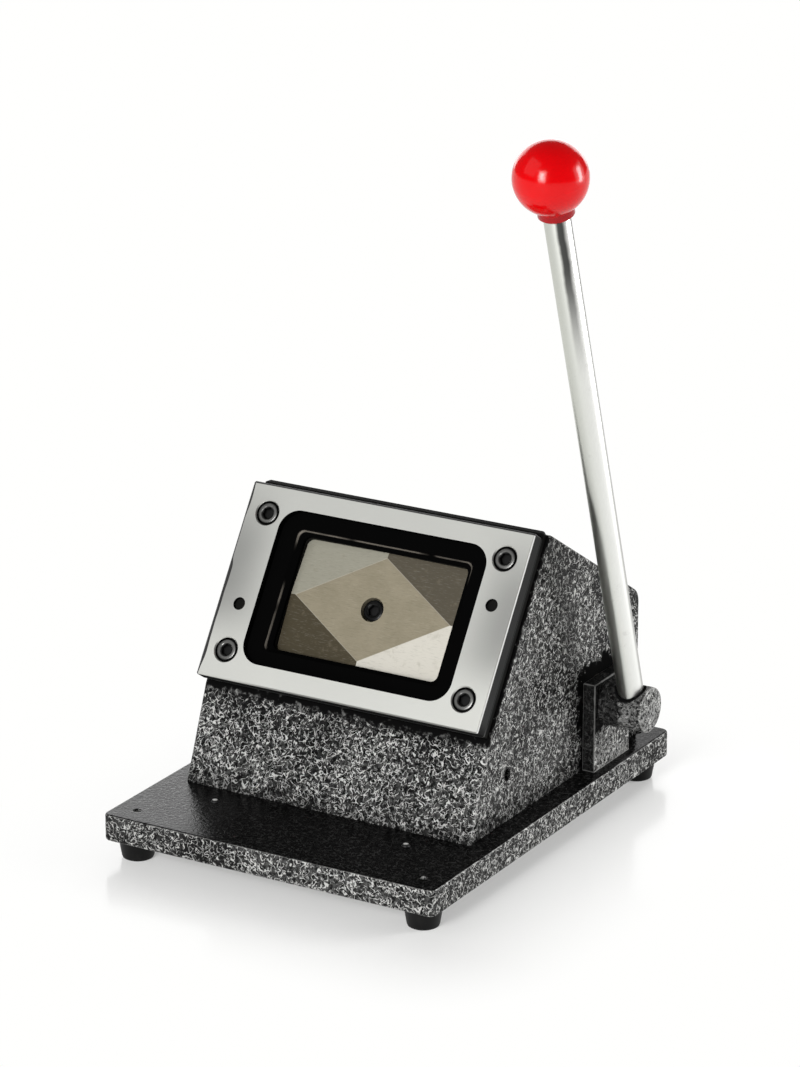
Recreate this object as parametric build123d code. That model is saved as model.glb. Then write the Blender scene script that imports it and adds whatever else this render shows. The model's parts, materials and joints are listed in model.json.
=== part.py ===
from build123d import *
import math
import os

os.makedirs("parts", exist_ok=True)

# Manual card cutter: a hand lever turns an eccentric shaft, the eccentric drives a ram
# along the slope of the body, and the ram pushes a card-sized punch into a steel die.
# X runs to the lever side, Y to the rear and Z up. The origin lies on the bench,
# in the middle of the four feet. Lengths are in millimetres, angles in degrees.

# Cuts run past the faces that they open by this much
overrun = 1.0

# Card, and the fits around it
card_width = 86.0
card_height = 54.0
card_corner_radius = 3.2
card_slot = 1.2
cutting_clearance = 0.05
seat_gap = 0.3
running_fit = 0.03

# Base plate
base_side_margin = 11.5
base_rear_margin = 12.0
base_thickness = 12.7
base_corner_radius = 4.0
base_edge_radius = 1.2

# Feet, with a pocket for the screw and its washer
foot_height = 9.5
foot_top_diameter = 18.0
foot_bottom_diameter = 14.5
foot_inset = 11.5
foot_pocket_diameter = 10.0
foot_pocket_depth = 5.5
foot_screw_size = 4.0
foot_screw_reach = 8.0
foot_screw_head = 7.0
foot_screw_head_height = 2.6
foot_screw_slot_width = 1.0
foot_screw_slot_depth = 1.2
foot_washer_diameter = 9.0
foot_washer_thickness = 0.8

# Pins on the front of the base that stop the cut cards
stop_pin_pitch = 100.0
stop_pin_setback = 38.0
stop_pin_diameter = 2.5
stop_pin_depth = 6.0
stop_pin_head_diameter = 4.0
stop_pin_head_height = 1.2

# Slope of the die, and how far its face lies behind the front of the base
tilt_angle = 33.5
die_face_setback = 85.4

# Body casting, which the die covers almost from side to side
body_side_margin = 0.9
body_margin_above_die = 3.3
body_margin_below_die = 1.0
lower_front_lean = 21.5
top_fall_angle = 31.7
body_room_behind_ring = 13.39
shoulder_radius = 9.0
crown_radius = 2.5
body_edge_radius = 0.8
side_wall = 14.5
top_wall = 10.0
front_wall = 10.0
chamber_floor = 10.0
chamber_side_gap = 3.0
chamber_end_gap = 1.6
guide_block_length = 39.5
guide_block_rib = 8.0

# Threaded holes in the two side walls for a card guide
side_hole_diameter = 5.8
side_hole_depth = 10.0
side_hole_height = 44.4

# Die plate and the plates behind it
die_edge_beyond_screws = 11.5
die_edge_beyond_window = 9.7
die_thickness = 7.5
die_edge_chamfer = 0.6
window_width = 108.6
window_height = 73.8
window_radius = 10.0
window_depth = 4.0
relief_side_step = 3.0
relief_end_step = 2.25
relief_depth = 2.5
guide_plate_thickness = 3.0
guide_plate_margin = 0.6
guide_plate_rise = 3.9
guide_plate_corner = 1.5
guide_plate_lead_in = 1.5
stripper_clearance = 0.15
spacer_width = 17.0

# Socket screws of one size hold the die and the punch
screw_size = 6.0
screw_clearance_diameter = 6.6
screw_head_diameter = 10.0
screw_head_height = 4.0
screw_socket_width = 5.0
screw_socket_depth = 2.4
counterbore_diameter = 11.4
counterbore_chamfer = 0.5
die_screw_recess = 0.3
die_screw_length = 20.0
window_screw_wall = 2.1
die_screw_inset = 4.0
punch_screw_recess = 1.0
punch_screw_length = 30.0
thread_run_out = 2.0

# Dowels that line up the die, one above and one below its middle
dowel_diameter = 6.0
die_dowel_beyond_screws = 0.3
die_dowel_v = 11.0
die_dowel_recess = 2.0
die_dowel_length = 20.0

# Punch
punch_thickness = 16.0
punch_setback = 0.2
facet_drop = 2.0
rhombus_half_width = 40.5
rhombus_half_height = 24.5
punch_dowel_inset = 8.0
punch_dowel_depth = 8.0

# Ram, with bronze gibs on its four sides
ram_pocket_wall = 8.45
ram_height_step = 5.0
gib_thickness = 3.0
gib_clearance = 0.05
gib_screw_size = 4.0
gib_screw_length = 8.0
gib_screw_head = 7.5
gib_screw_cone = 2.0
gib_screw_pitch = 20.0
flat_gib_screw_inset = 15.0

# Crosshead on the rear of the ram, and the hard pad that the eccentric pushes
crosshead_side_clearance = 2.0
crosshead_height_step = 4.0
crosshead_thickness = 8.0
crosshead_stop_clearance = 2.86
crosshead_screw_size = 5.0
crosshead_screw_head = 8.5
crosshead_screw_head_height = 5.0
crosshead_screw_socket = 4.0
crosshead_screw_length = 18.0
crosshead_screw_inset = 5.0
crosshead_screw_pitch_v = 20.0
pad_screw_room = 7.0
pad_height_step = 5.0
pad_thickness = 4.0
pad_proud = 1.0
pad_screw_inset = 2.7
pad_screw_size = 3.0
pad_screw_length = 7.0
pad_screw_head = 5.5
pad_screw_cone = 1.4

# Return springs on shoulder bolts
spring_edge_margin = 8.0
spring_pocket_diameter = 17.0
spring_pocket_depth = 24.0
spring_wire = 2.0
spring_mean_diameter = 12.0
spring_live_turns = 6
spring_end_turns = 1
spring_end_gap = 0.45
spring_bolt_diameter = 8.0
spring_bolt_clearance = 0.3
spring_bolt_thread = 6.0
spring_bolt_thread_length = 11.0
spring_bolt_head = 13.0
spring_bolt_head_height = 5.0
spring_bolt_socket = 5.0
spring_bolt_socket_depth = 2.8

# Shaft, eccentric and the ring that rolls on the pad
shaft_rise = -2.8
shaft_diameter = 18.0
lever_swing = 75.0
eccentric_throw = 4.5
eccentric_wall = 3.0
eccentric_flange_width = 2.3
eccentric_flange_proud = 2.5
ring_screw_room = 3.3
ring_thickness = 4.0
ring_floor_clearance = 5.8
ring_side_play = 0.2
ring_clip_width = 1.5
ring_clip_depth = 1.0
ring_clip_gap = 8.0
ring_clip_land = 1.7
cam_hub_diameter = 30.0
cam_hub_length = 11.0
key_width = 6.0
key_height = 6.0
key_length = 18.0
key_shaft_share = 0.55
set_screw_size = 6.0
set_screw_length = 6.0
set_screw_socket = 3.0
set_screw_socket_depth = 2.5

# Bearings: a flanged bush in each wall and a block outside it
bush_outer_diameter = 24.0
bush_flange_diameter = 30.0
bush_flange_width = 2.0
block_thickness = 6.5
block_ahead_of_shaft = 13.0
block_behind_shaft = 21.5
block_above_shaft = 12.0
block_edge_radius = 0.8
block_screw_size = 5.0
block_screw_head = 8.5
block_screw_head_height = 5.0
block_screw_socket = 4.0
block_screw_bite = 5.0
block_screw_pitch = 16.0
block_screw_drop = 22.0

# Collar on the free end of the shaft
collar_diameter = 28.0
collar_width = 8.0
collar_chamfer = 0.8
shaft_end_proud = 1.0

# Lever: hub, rod and ball knob
hub_diameter = 21.2
hub_length = 21.8
hub_end_wall = 5.0
hub_edge_radius = 1.0
hub_spigot_diameter = 14.0
lever_rest_lean = 17.5
rod_diameter = 12.0
rod_setback_from_hub_end = 9.25
rod_seat_radius = 8.2
rod_seat_chamfer = 1.0
rod_tip_diameter = 8.0
rod_tip_reach = 12.5
knob_centre_distance = 280.9
knob_diameter = 33.4
knob_neck_diameter = 16.3
knob_neck_distance = 18.3
knob_thread_depth = 20.0

# Rear cover
cover_thickness = 3.0
cover_gap = 0.2
cover_land = 8.0
cover_top_margin = 6.0
cover_screw_size = 4.0
cover_screw_length = 10.0
cover_screw_head = 7.0
cover_screw_head_height = 2.4
cover_screw_slot_width = 1.0
cover_screw_slot_depth = 1.2
cover_screw_inset = 8.0

# Bolts up through the base into the body
body_bolt_size = 6.0
body_bolt_head = 10.0
body_bolt_head_height = 6.0
body_bolt_socket = 5.0
body_bolt_counterbore = 11.0
body_bolt_recess = 0.8
body_bolt_bite = 16.0
body_bolt_setback = 24.0
body_bolt_pitch = 58.0

# Heights and planes that follow from the sizes above
tilt_sine = math.sin(math.radians(tilt_angle))
tilt_cosine = math.cos(math.radians(tilt_angle))
fall_tangent = math.tan(math.radians(top_fall_angle))
fall_cosine = math.cos(math.radians(top_fall_angle))
lean_tangent = math.tan(math.radians(lower_front_lean))
lean_cosine = math.cos(math.radians(lower_front_lean))
base_top = foot_height + base_thickness
half_swing = math.radians(lever_swing / 2)

# Widths, from the window outward
die_screw_pitch_x = window_width + counterbore_diameter + 2 * window_screw_wall
die_dowel_x = die_screw_pitch_x / 2 + die_dowel_beyond_screws
die_width = die_screw_pitch_x + 2 * die_edge_beyond_screws
body_width = die_width + 2 * body_side_margin
base_width = body_width + 2 * base_side_margin
body_side = body_width / 2
cavity_side = body_side - side_wall
block_side = body_side + block_thickness

# Widths, from the side walls inward
crosshead_width = 2 * (cavity_side - crosshead_side_clearance)
spring_pitch_x = crosshead_width - 2 * spring_edge_margin
channel_width = spring_pitch_x - spring_pocket_diameter - 2 * ram_pocket_wall
ram_width = channel_width - 2 * (gib_clearance + gib_thickness)
punch_dowel_pitch = ram_width - 2 * punch_dowel_inset
flat_gib_screw_pitch = ram_width - 2 * flat_gib_screw_inset
crosshead_screw_pitch_x = ram_width - 2 * crosshead_screw_inset
pad_width = crosshead_screw_pitch_x - 2 * pad_screw_room
pad_screw_pitch = pad_width - 2 * pad_screw_inset
ring_width = pad_screw_pitch - 2 * ring_screw_room

# Heights up the slope
die_height = window_height + 2 * die_edge_beyond_window
die_screw_pitch_v = window_height - 2 * die_screw_inset
body_above_die_centre = die_height / 2 + body_margin_above_die
body_below_die_centre = die_height / 2 + body_margin_below_die
relief_width = card_width + 2 * relief_side_step
relief_height = card_height + 2 * relief_end_step
ram_height = card_height - 2 * ram_height_step
channel_height = ram_height + 2 * (gib_clearance + gib_thickness)
crosshead_height = ram_height - 2 * crosshead_height_step
pad_height = crosshead_height - 2 * pad_height_step

# Depths behind the die face, along the slope
slot_front = die_thickness
slot_back = slot_front + card_slot
body_face_depth = slot_back + guide_plate_thickness
punch_face = slot_back + punch_setback
punch_back = punch_face + punch_thickness
chamber_back = punch_back + chamber_end_gap
guide_block_back = chamber_back + guide_block_length
spring_seat = guide_block_back - spring_pocket_depth
ram_stroke = 2 * eccentric_throw * math.sin(half_swing)
crosshead_front = guide_block_back + crosshead_stop_clearance + ram_stroke
crosshead_back = crosshead_front + crosshead_thickness
pad_face = crosshead_back + pad_proud
ring_inner_radius = shaft_diameter / 2 + eccentric_throw + eccentric_wall
ring_outer_radius = ring_inner_radius + ring_thickness
eccentric_depth = pad_face + seat_gap + ring_outer_radius
eccentric_rise = shaft_rise + eccentric_throw * math.cos(half_swing)
shaft_depth = eccentric_depth - eccentric_throw * math.sin(half_swing)

# Places of the die and the shaft over the base
shaft_height = base_top + eccentric_throw + ring_outer_radius + ring_floor_clearance
die_face_height = shaft_height + shaft_depth * tilt_sine - shaft_rise * tilt_cosine
shaft_behind_die = shaft_depth * tilt_cosine + shaft_rise * tilt_sine
ring_reach = eccentric_throw + ring_outer_radius
body_reach_behind_die = shaft_behind_die + ring_reach + body_room_behind_ring + cover_thickness
base_length = die_face_setback + body_reach_behind_die + base_rear_margin
base_front = -base_length / 2
die_centre_y = base_front + die_face_setback


def side_point(depth, rise):
    """Y and Z of a point at a depth behind the die face and a rise above its centre."""
    y = die_centre_y + depth * tilt_cosine + rise * tilt_sine
    z = die_face_height - depth * tilt_sine + rise * tilt_cosine
    return y, z


slope = Plane(
    origin=(0, die_centre_y, die_face_height),
    x_dir=(1, 0, 0),
    z_dir=(0, -tilt_cosine, tilt_sine),
)
shaft_y, shaft_z = side_point(shaft_depth, shaft_rise)


def on_slope(shape):
    """Put a shape drawn on the die face, with its normal along Z, in its real place."""
    return slope.location * shape


def slab(width, height, front, back, radius=0):
    """A plate between two depths behind the die face, drawn on the die face."""
    outline = RectangleRounded(width, height, radius) if radius else Rectangle(width, height)
    return Pos(0, 0, -back) * extrude(outline, back - front)


def bore(x, rise, diameter, front, back):
    """A round rod or hole between two depths behind the die face."""
    middle = -(front + back) / 2
    return Pos(x, rise, middle) * Cylinder(diameter / 2, back - front)


def cross_rod(diameter, start, end):
    """A round rod along X, about the origin."""
    return Pos((start + end) / 2, 0, 0) * Rot(0, 90, 0) * Cylinder(diameter / 2, end - start)


def at_shaft(shape, turn=0):
    """Turn a shape about X, away from the lever's side of upright, and put it on the shaft."""
    return Pos(0, shaft_y, shaft_z) * Rot(turn, 0, 0) * shape


def socket_screw(size, length, head, head_height, socket, socket_depth):
    """A socket screw with the top of its head at the origin and its point down."""
    screw = Pos(0, 0, -head_height / 2) * Cylinder(head / 2, head_height)
    screw += Pos(0, 0, -head_height - length / 2) * Cylinder(size / 2, length)
    hexagon = RegularPolygon(socket / 2, 6, major_radius=False)
    screw -= Pos(0, 0, -socket_depth) * extrude(hexagon, socket_depth + overrun)
    return screw


def countersunk_screw(size, length, head, cone):
    """A countersunk screw with its flat top at the origin and its point down."""
    screw = Pos(0, 0, -cone / 2) * Cone(size / 2, head / 2, cone)
    screw += Pos(0, 0, -(cone + length) / 2) * Cylinder(size / 2, length - cone)
    screw -= Pos(0, 0, 0) * Box(size / 4, head * 2, cone)
    return screw


def slotted_screw(size, length, head, head_height, slot_width, slot_depth):
    """A pan-head screw with the top of its head at the origin and its point down."""
    screw = Pos(0, 0, -head_height / 2) * Cylinder(head / 2, head_height)
    screw = fillet(screw.edges().sort_by(Axis.Z)[-1], head_height / 3)
    screw += Pos(0, 0, -head_height - length / 2) * Cylinder(size / 2, length)
    screw -= Box(slot_width, head * 2, slot_depth * 2)
    return screw


def write(shape, name):
    """Write one sub-part as a STEP file under its own name."""
    export_step(shape, f"parts/{name}.step")


def group(shapes):
    """Keep like pieces as separate solids in one file."""
    return Compound(children=list(shapes))


# Places that several pieces share
foot_places = [
    (side * (base_width / 2 - foot_inset), end * (base_length / 2 - foot_inset))
    for side in (-1, 1)
    for end in (-1, 1)
]
body_rear = die_centre_y + body_reach_behind_die
fold_y, fold_z = side_point(body_face_depth, -body_below_die_centre)
crown_y, crown_z = side_point(body_face_depth, body_above_die_centre)
toe_y = fold_y - (fold_z - base_top) * lean_tangent
shoulder_z = crown_z - (body_rear - crown_y) * fall_tangent
bolt_x = (body_side + cavity_side) / 2
bolt_places = [
    (side * bolt_x, toe_y + body_bolt_setback + step * body_bolt_pitch)
    for side in (-1, 1)
    for step in (0, 1, 2)
]
die_screw_places = [
    (side * die_screw_pitch_x / 2, end * die_screw_pitch_v / 2)
    for side in (-1, 1)
    for end in (-1, 1)
]
die_dowel_places = [(-die_dowel_x, -die_dowel_v), (die_dowel_x, die_dowel_v)]
block_screw_places = [
    (shaft_y + side * block_screw_pitch / 2, shaft_z - block_screw_drop)
    for side in (-1, 1)
]


def base_plate():
    """Flat steel plate under the body, with tapped holes for the feet."""
    plate = extrude(RectangleRounded(base_width, base_length, base_corner_radius), base_thickness)
    rims = plate.faces().sort_by(Axis.Z)[-1].edges() + plate.faces().sort_by(Axis.Z)[0].edges()
    plate = fillet(rims, base_edge_radius)
    plate = Pos(0, 0, foot_height) * plate
    through = base_thickness + 2 * overrun
    middle = foot_height + base_thickness / 2
    for x, y in foot_places:
        plate -= Pos(x, y, middle) * Cylinder(foot_screw_size / 2, through)
    for x, y in bolt_places:
        seat = body_bolt_head_height + body_bolt_recess
        plate -= Pos(x, y, middle) * Cylinder(body_bolt_size / 2 + seat_gap, through)
        mouth = Cylinder(body_bolt_counterbore / 2, seat + overrun)
        plate -= Pos(x, y, foot_height + (seat - overrun) / 2) * mouth
    for side in (-1, 1):
        hole = Cylinder(stop_pin_diameter / 2, stop_pin_depth + overrun)
        place = Pos(side * stop_pin_pitch / 2, base_front + stop_pin_setback, base_top)
        plate -= place * Pos(0, 0, (overrun - stop_pin_depth) / 2) * hole
    return plate


def rubber_feet():
    """Four tapered rubber feet, each with a pocket for its screw."""
    foot = Cone(foot_bottom_diameter / 2, foot_top_diameter / 2, foot_height)
    foot = Pos(0, 0, foot_height / 2) * foot
    foot -= Pos(0, 0, foot_height / 2) * Cylinder(foot_screw_size / 2, foot_height + overrun)
    pocket = Cylinder(foot_pocket_diameter / 2, foot_pocket_depth + overrun)
    foot -= Pos(0, 0, (foot_pocket_depth - overrun) / 2) * pocket
    return group(Pos(x, y, 0) * foot for x, y in foot_places)


def foot_washers():
    """Washers that keep the screw heads from pulling through the rubber."""
    washer = Cylinder(foot_washer_diameter / 2, foot_washer_thickness)
    washer -= Cylinder(foot_screw_size / 2, foot_washer_thickness + overrun)
    height = foot_pocket_depth - foot_washer_thickness / 2
    return group(Pos(x, y, height) * washer for x, y in foot_places)


def foot_screws():
    """Screws from below, which end short of the top of the base."""
    grip = foot_height - foot_pocket_depth + foot_washer_thickness + foot_screw_reach
    screw = slotted_screw(
        foot_screw_size, grip, foot_screw_head, foot_screw_head_height,
        foot_screw_slot_width, foot_screw_slot_depth,
    )
    height = foot_pocket_depth - foot_washer_thickness - foot_screw_head_height
    return group(Pos(x, y, height) * Rot(180, 0, 0) * screw for x, y in foot_places)


def card_stop_pins():
    """Two small dome-head drive pins on the front of the base."""
    cap_radius = (stop_pin_head_diameter ** 2 / 4 + stop_pin_head_height ** 2) / (2 * stop_pin_head_height)
    dome = Pos(0, 0, stop_pin_head_height - cap_radius) * Sphere(cap_radius)
    keep = Box(stop_pin_head_diameter * 2, stop_pin_head_diameter * 2, stop_pin_head_height * 2)
    dome &= Pos(0, 0, stop_pin_head_height) * keep
    pin = dome + Pos(0, 0, -stop_pin_depth / 2) * Cylinder(stop_pin_diameter / 2, stop_pin_depth)
    places = [(side * stop_pin_pitch / 2, base_front + stop_pin_setback) for side in (-1, 1)]
    return group(Pos(x, y, base_top) * pin for x, y in places)


def side_outline(points):
    """A closed outline in the plane of the body's side."""
    return Plane.YZ * make_face(Polyline(*points, close=True))


def body_shell():
    """Outer form of the body: sloping front, falling top and upright rear."""
    points = [
        (toe_y, base_top), (fold_y, fold_z), (crown_y, crown_z),
        (body_rear, shoulder_z), (body_rear, base_top),
    ]
    outline = make_face(Polyline(*points, close=True))
    corners = outline.vertices().sort_by(Axis.Y)
    shoulder = corners.sort_by_distance((body_rear, shoulder_z, 0))[0]
    outline = fillet(shoulder, shoulder_radius)
    crown = outline.vertices().sort_by_distance((crown_y, crown_z, 0))[0]
    outline = fillet(crown, crown_radius)
    shell = extrude(Plane.YZ * outline, body_side, both=True)
    rims = [
        edge
        for face in (shell.faces().sort_by(Axis.X)[0], shell.faces().sort_by(Axis.X)[-1])
        for edge in face.edges()
        if edge.center().Z > base_top + body_edge_radius
    ]
    return fillet(rims, body_edge_radius)


def rear_cavity():
    """Room for the shaft and crosshead, open to the rear and to the base."""
    inner_drop = top_wall / fall_cosine
    start_y, start_z = side_point(guide_block_back, 0)
    line_z = crown_z - inner_drop - (start_y - crown_y) * fall_tangent
    top_rise = (line_z - start_z) / (tilt_cosine + tilt_sine * fall_tangent)
    top_y, top_z = side_point(guide_block_back, top_rise)
    low_z = base_top - overrun
    low_rise = (low_z - start_z) / tilt_cosine
    low_y = side_point(guide_block_back, low_rise)[0]
    end_y = body_rear + overrun
    end_z = top_z - (end_y - top_y) * fall_tangent
    outline = side_outline([(low_y, low_z), (top_y, top_z), (end_y, end_z), (end_y, low_z)])
    return extrude(outline, cavity_side, both=True)


def lower_pocket():
    """Hollow under the guide block, open to the base."""
    ceiling = -(card_height / 2 + chamber_side_gap + chamber_floor)
    wall_y = toe_y + front_wall / lean_cosine
    start_y, start_z = side_point(0, ceiling)
    reach = wall_y + (start_z - base_top) * lean_tangent - start_y
    front_depth = reach / (tilt_cosine + tilt_sine * lean_tangent)
    back_depth = guide_block_back - guide_block_rib
    low_z = base_top - overrun
    back_y = side_point(back_depth, 0)[0]
    back_z = side_point(back_depth, 0)[1]
    back_rise = (low_z - back_z) / tilt_cosine
    outline = side_outline([
        (wall_y - overrun * lean_tangent, low_z),
        side_point(front_depth, ceiling),
        side_point(back_depth, ceiling),
        (back_y + back_rise * tilt_sine, low_z),
    ])
    return extrude(outline, cavity_side, both=True)


def cover_opening():
    """Width, foot and head of the rebate that takes the rear cover."""
    head = shoulder_z - top_wall / fall_cosine + cover_top_margin
    return 2 * (cavity_side + cover_land), base_top, head


def cover_screw_places():
    """X and Z of the screws that hold the rear cover."""
    width, foot, head = cover_opening()
    x = width / 2 - cover_land / 2
    return [(side * x, z) for side in (-1, 1) for z in (foot + cover_screw_inset, head - cover_screw_inset)]


def body_housing():
    """Hollow casting that carries the die, the guides and the shaft."""
    body = body_shell() - rear_cavity() - lower_pocket()

    # Punch chamber and the channel that holds the gibs and the ram
    chamber_width = card_width + 2 * chamber_side_gap
    chamber_height = card_height + 2 * chamber_side_gap
    chamber = slab(chamber_width, chamber_height, body_face_depth - overrun, chamber_back, card_corner_radius)
    channel = slab(channel_width, channel_height, chamber_back - overrun, guide_block_back + overrun)
    body -= on_slope(chamber + channel)

    # Spring pockets, with a thread for the shoulder bolt at the bottom of each
    for side in (-1, 1):
        x = side * spring_pitch_x / 2
        thread_end = spring_seat - spring_bolt_thread_length - thread_run_out / 2
        pocket = bore(x, 0, spring_pocket_diameter, spring_seat, guide_block_back + overrun)
        thread = bore(x, 0, spring_bolt_thread, thread_end, spring_seat + overrun)
        body -= on_slope(pocket + thread)

    # Threads and dowel holes in the sloping face
    screw_end = die_screw_recess + screw_head_height + die_screw_length + thread_run_out
    for x, rise in die_screw_places:
        body -= on_slope(bore(x, rise, screw_size, body_face_depth - overrun, screw_end))
    dowel_end = die_dowel_recess + die_dowel_length
    for x, rise in die_dowel_places:
        body -= on_slope(bore(x, rise, dowel_diameter, body_face_depth - overrun, dowel_end))

    # Threads behind the gibs
    for side, depth in side_gib_screw_places():
        start = channel_width / 2 - overrun
        end = ram_width / 2 + gib_clearance + gib_screw_length
        hole = Pos(side * (start + end) / 2, 0, -depth) * Rot(0, 90, 0)
        body -= on_slope(hole * Cylinder(gib_screw_size / 2, end - start))
    for x, side, depth in flat_gib_screw_places():
        start = channel_height / 2 - overrun
        end = ram_height / 2 + gib_clearance + gib_screw_length
        hole = Pos(x, side * (start + end) / 2, -depth) * Rot(90, 0, 0)
        body -= on_slope(hole * Cylinder(gib_screw_size / 2, end - start))

    # Bores for the bushes, and holes for the screws that hold the outer blocks
    body -= at_shaft(cross_rod(bush_outer_diameter, -body_side - overrun, body_side + overrun))
    for y, z in block_screw_places:
        clear = block_screw_size + seat_gap
        body -= Pos(0, y, z) * cross_rod(clear, -body_side - overrun, body_side + overrun)
        seat = cavity_side + block_screw_head_height
        body -= Pos(0, y, z) * cross_rod(block_screw_head + 2 * seat_gap, -seat, seat)

    # Bolt threads from below, and the holes for a card guide in the sides
    for x, y in bolt_places:
        depth = body_bolt_bite + thread_run_out
        body -= Pos(x, y, base_top + depth / 2) * Cylinder(body_bolt_size / 2, depth)
    for side in (-1, 1):
        start = body_side - side_hole_depth
        end = body_side + overrun
        hole = cross_rod(side_hole_diameter, min(side * start, side * end), max(side * start, side * end))
        body -= Pos(0, die_centre_y, side_hole_height) * hole

    # Rebate and threads for the rear cover
    width, foot, head = cover_opening()
    rebate = Box(width, cover_thickness + overrun, head - foot + overrun)
    body -= Pos(0, body_rear + (overrun - cover_thickness) / 2, (head + foot - overrun) / 2) * rebate
    for x, z in cover_screw_places():
        depth = cover_screw_length - cover_thickness + thread_run_out
        hole = Rot(90, 0, 0) * Cylinder(cover_screw_size / 2, depth)
        body -= Pos(x, body_rear - cover_thickness - depth / 2, z) * hole
    return body


def body_bolts():
    """Socket bolts sunk in the underside of the base."""
    length = base_thickness - body_bolt_head_height - body_bolt_recess + body_bolt_bite
    bolt = socket_screw(
        body_bolt_size, length, body_bolt_head, body_bolt_head_height,
        body_bolt_socket, body_bolt_head_height / 2,
    )
    height = foot_height + body_bolt_recess
    return group(Pos(x, y, height) * Rot(180, 0, 0) * bolt for x, y in bolt_places)


def rear_cover():
    """Steel sheet let into the rear of the body."""
    width, foot, head = cover_opening()
    plate = Box(width - 2 * cover_gap, cover_thickness, head - foot - 2 * cover_gap)
    plate = Pos(0, body_rear - cover_thickness / 2, (head + foot) / 2) * plate
    for x, z in cover_screw_places():
        hole = Rot(90, 0, 0) * Cylinder(cover_screw_size / 2 + cover_gap, cover_thickness + overrun)
        plate -= Pos(x, body_rear - cover_thickness / 2, z) * hole
    return plate


def rear_cover_screws():
    """Pan-head screws of the rear cover."""
    screw = slotted_screw(
        cover_screw_size, cover_screw_length, cover_screw_head, cover_screw_head_height,
        cover_screw_slot_width, cover_screw_slot_depth,
    )
    top = body_rear + cover_screw_head_height
    return group(Pos(x, top, z) * Rot(-90, 0, 0) * screw for x, z in cover_screw_places())


def die_plate():
    """Female die: a deep front window over a relieved cutting edge at the rear."""
    plate = slab(die_width, die_height, 0, die_thickness)
    plate = chamfer(plate.edges(), die_edge_chamfer)
    window = slab(window_width, window_height, -overrun, window_depth, window_radius)
    edge_width = card_width + 2 * cutting_clearance
    edge_height = card_height + 2 * cutting_clearance
    edge_radius = card_corner_radius + cutting_clearance
    wide = Pos(0, 0, -window_depth) * RectangleRounded(relief_width, relief_height, edge_radius)
    narrow_depth = window_depth + relief_depth
    narrow = Pos(0, 0, -narrow_depth) * RectangleRounded(edge_width, edge_height, edge_radius)
    relief = loft([wide, narrow], ruled=True)
    edge = slab(edge_width, edge_height, window_depth, die_thickness + overrun, edge_radius)
    plate = plate - window - relief - edge
    seat = die_screw_recess + screw_head_height
    for x, rise in die_screw_places:
        plate -= bore(x, rise, screw_clearance_diameter, 0, die_thickness + overrun)
        plate -= bore(x, rise, counterbore_diameter, -overrun, seat)
        mouth = Cone(counterbore_diameter / 2, counterbore_diameter / 2 + counterbore_chamfer, counterbore_chamfer)
        plate -= Pos(x, rise, -counterbore_chamfer / 2) * mouth
    for x, rise in die_dowel_places:
        plate -= bore(x, rise, dowel_diameter, -overrun, die_thickness + overrun)
    return on_slope(plate)


def slot_spacers():
    """Thin steel strips that leave the card slot open between them."""
    strip_height = die_height - 2 * guide_plate_margin
    centre = die_width / 2 - guide_plate_margin - spacer_width / 2
    pair = []
    for side in (-1, 1):
        strip = Pos(side * centre, 0, 0) * slab(spacer_width, strip_height, slot_front, slot_back)
        for x, rise in die_screw_places:
            strip -= bore(x, rise, screw_clearance_diameter, slot_front - overrun, slot_back + overrun)
        for x, rise in die_dowel_places:
            strip -= bore(x, rise, dowel_diameter, slot_front - overrun, slot_back + overrun)
        pair.append(on_slope(strip))
    return group(pair)


def guide_plate():
    """Stripper plate on the body, a little taller than the die to lead the cards into the slot."""
    width = die_width - 2 * guide_plate_margin
    height = die_height - guide_plate_margin + guide_plate_rise
    middle = (guide_plate_rise + guide_plate_margin) / 2
    plate = Pos(0, middle, 0) * slab(width, height, slot_back, body_face_depth)
    plate = chamfer(plate.edges().filter_by(Axis.Z).sort_by(Axis.Y)[-2:], guide_plate_corner)
    top_front = plate.edges().filter_by(Axis.X).sort_by(Axis.Y)[-2:].sort_by(Axis.Z)[-1]
    plate = chamfer(top_front, guide_plate_lead_in)
    opening_width = card_width + 2 * stripper_clearance
    opening_height = card_height + 2 * stripper_clearance
    radius = card_corner_radius + stripper_clearance
    plate -= slab(opening_width, opening_height, slot_back - overrun, body_face_depth + overrun, radius)
    for x, rise in die_screw_places:
        plate -= bore(x, rise, screw_clearance_diameter, slot_back - overrun, body_face_depth + overrun)
    for x, rise in die_dowel_places:
        plate -= bore(x, rise, dowel_diameter, slot_back - overrun, body_face_depth + overrun)
    return on_slope(plate)


def die_screws():
    """Low-head socket screws through the die, spacers and guide plate."""
    screw = socket_screw(
        screw_size, die_screw_length, screw_head_diameter, screw_head_height,
        screw_socket_width, screw_socket_depth,
    )
    return group(on_slope(Pos(x, rise, -die_screw_recess) * screw) for x, rise in die_screw_places)


def die_dowels():
    """Hardened pins that line the die up with the body, sunk below its face."""
    end = die_dowel_recess + die_dowel_length
    pins = (bore(x, rise, dowel_diameter, die_dowel_recess, end) for x, rise in die_dowel_places)
    return group(on_slope(pin) for pin in pins)


def punch_screw_seat():
    """Depth of the flat under the punch screw's head."""
    return punch_face + punch_screw_recess + screw_head_height


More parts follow.
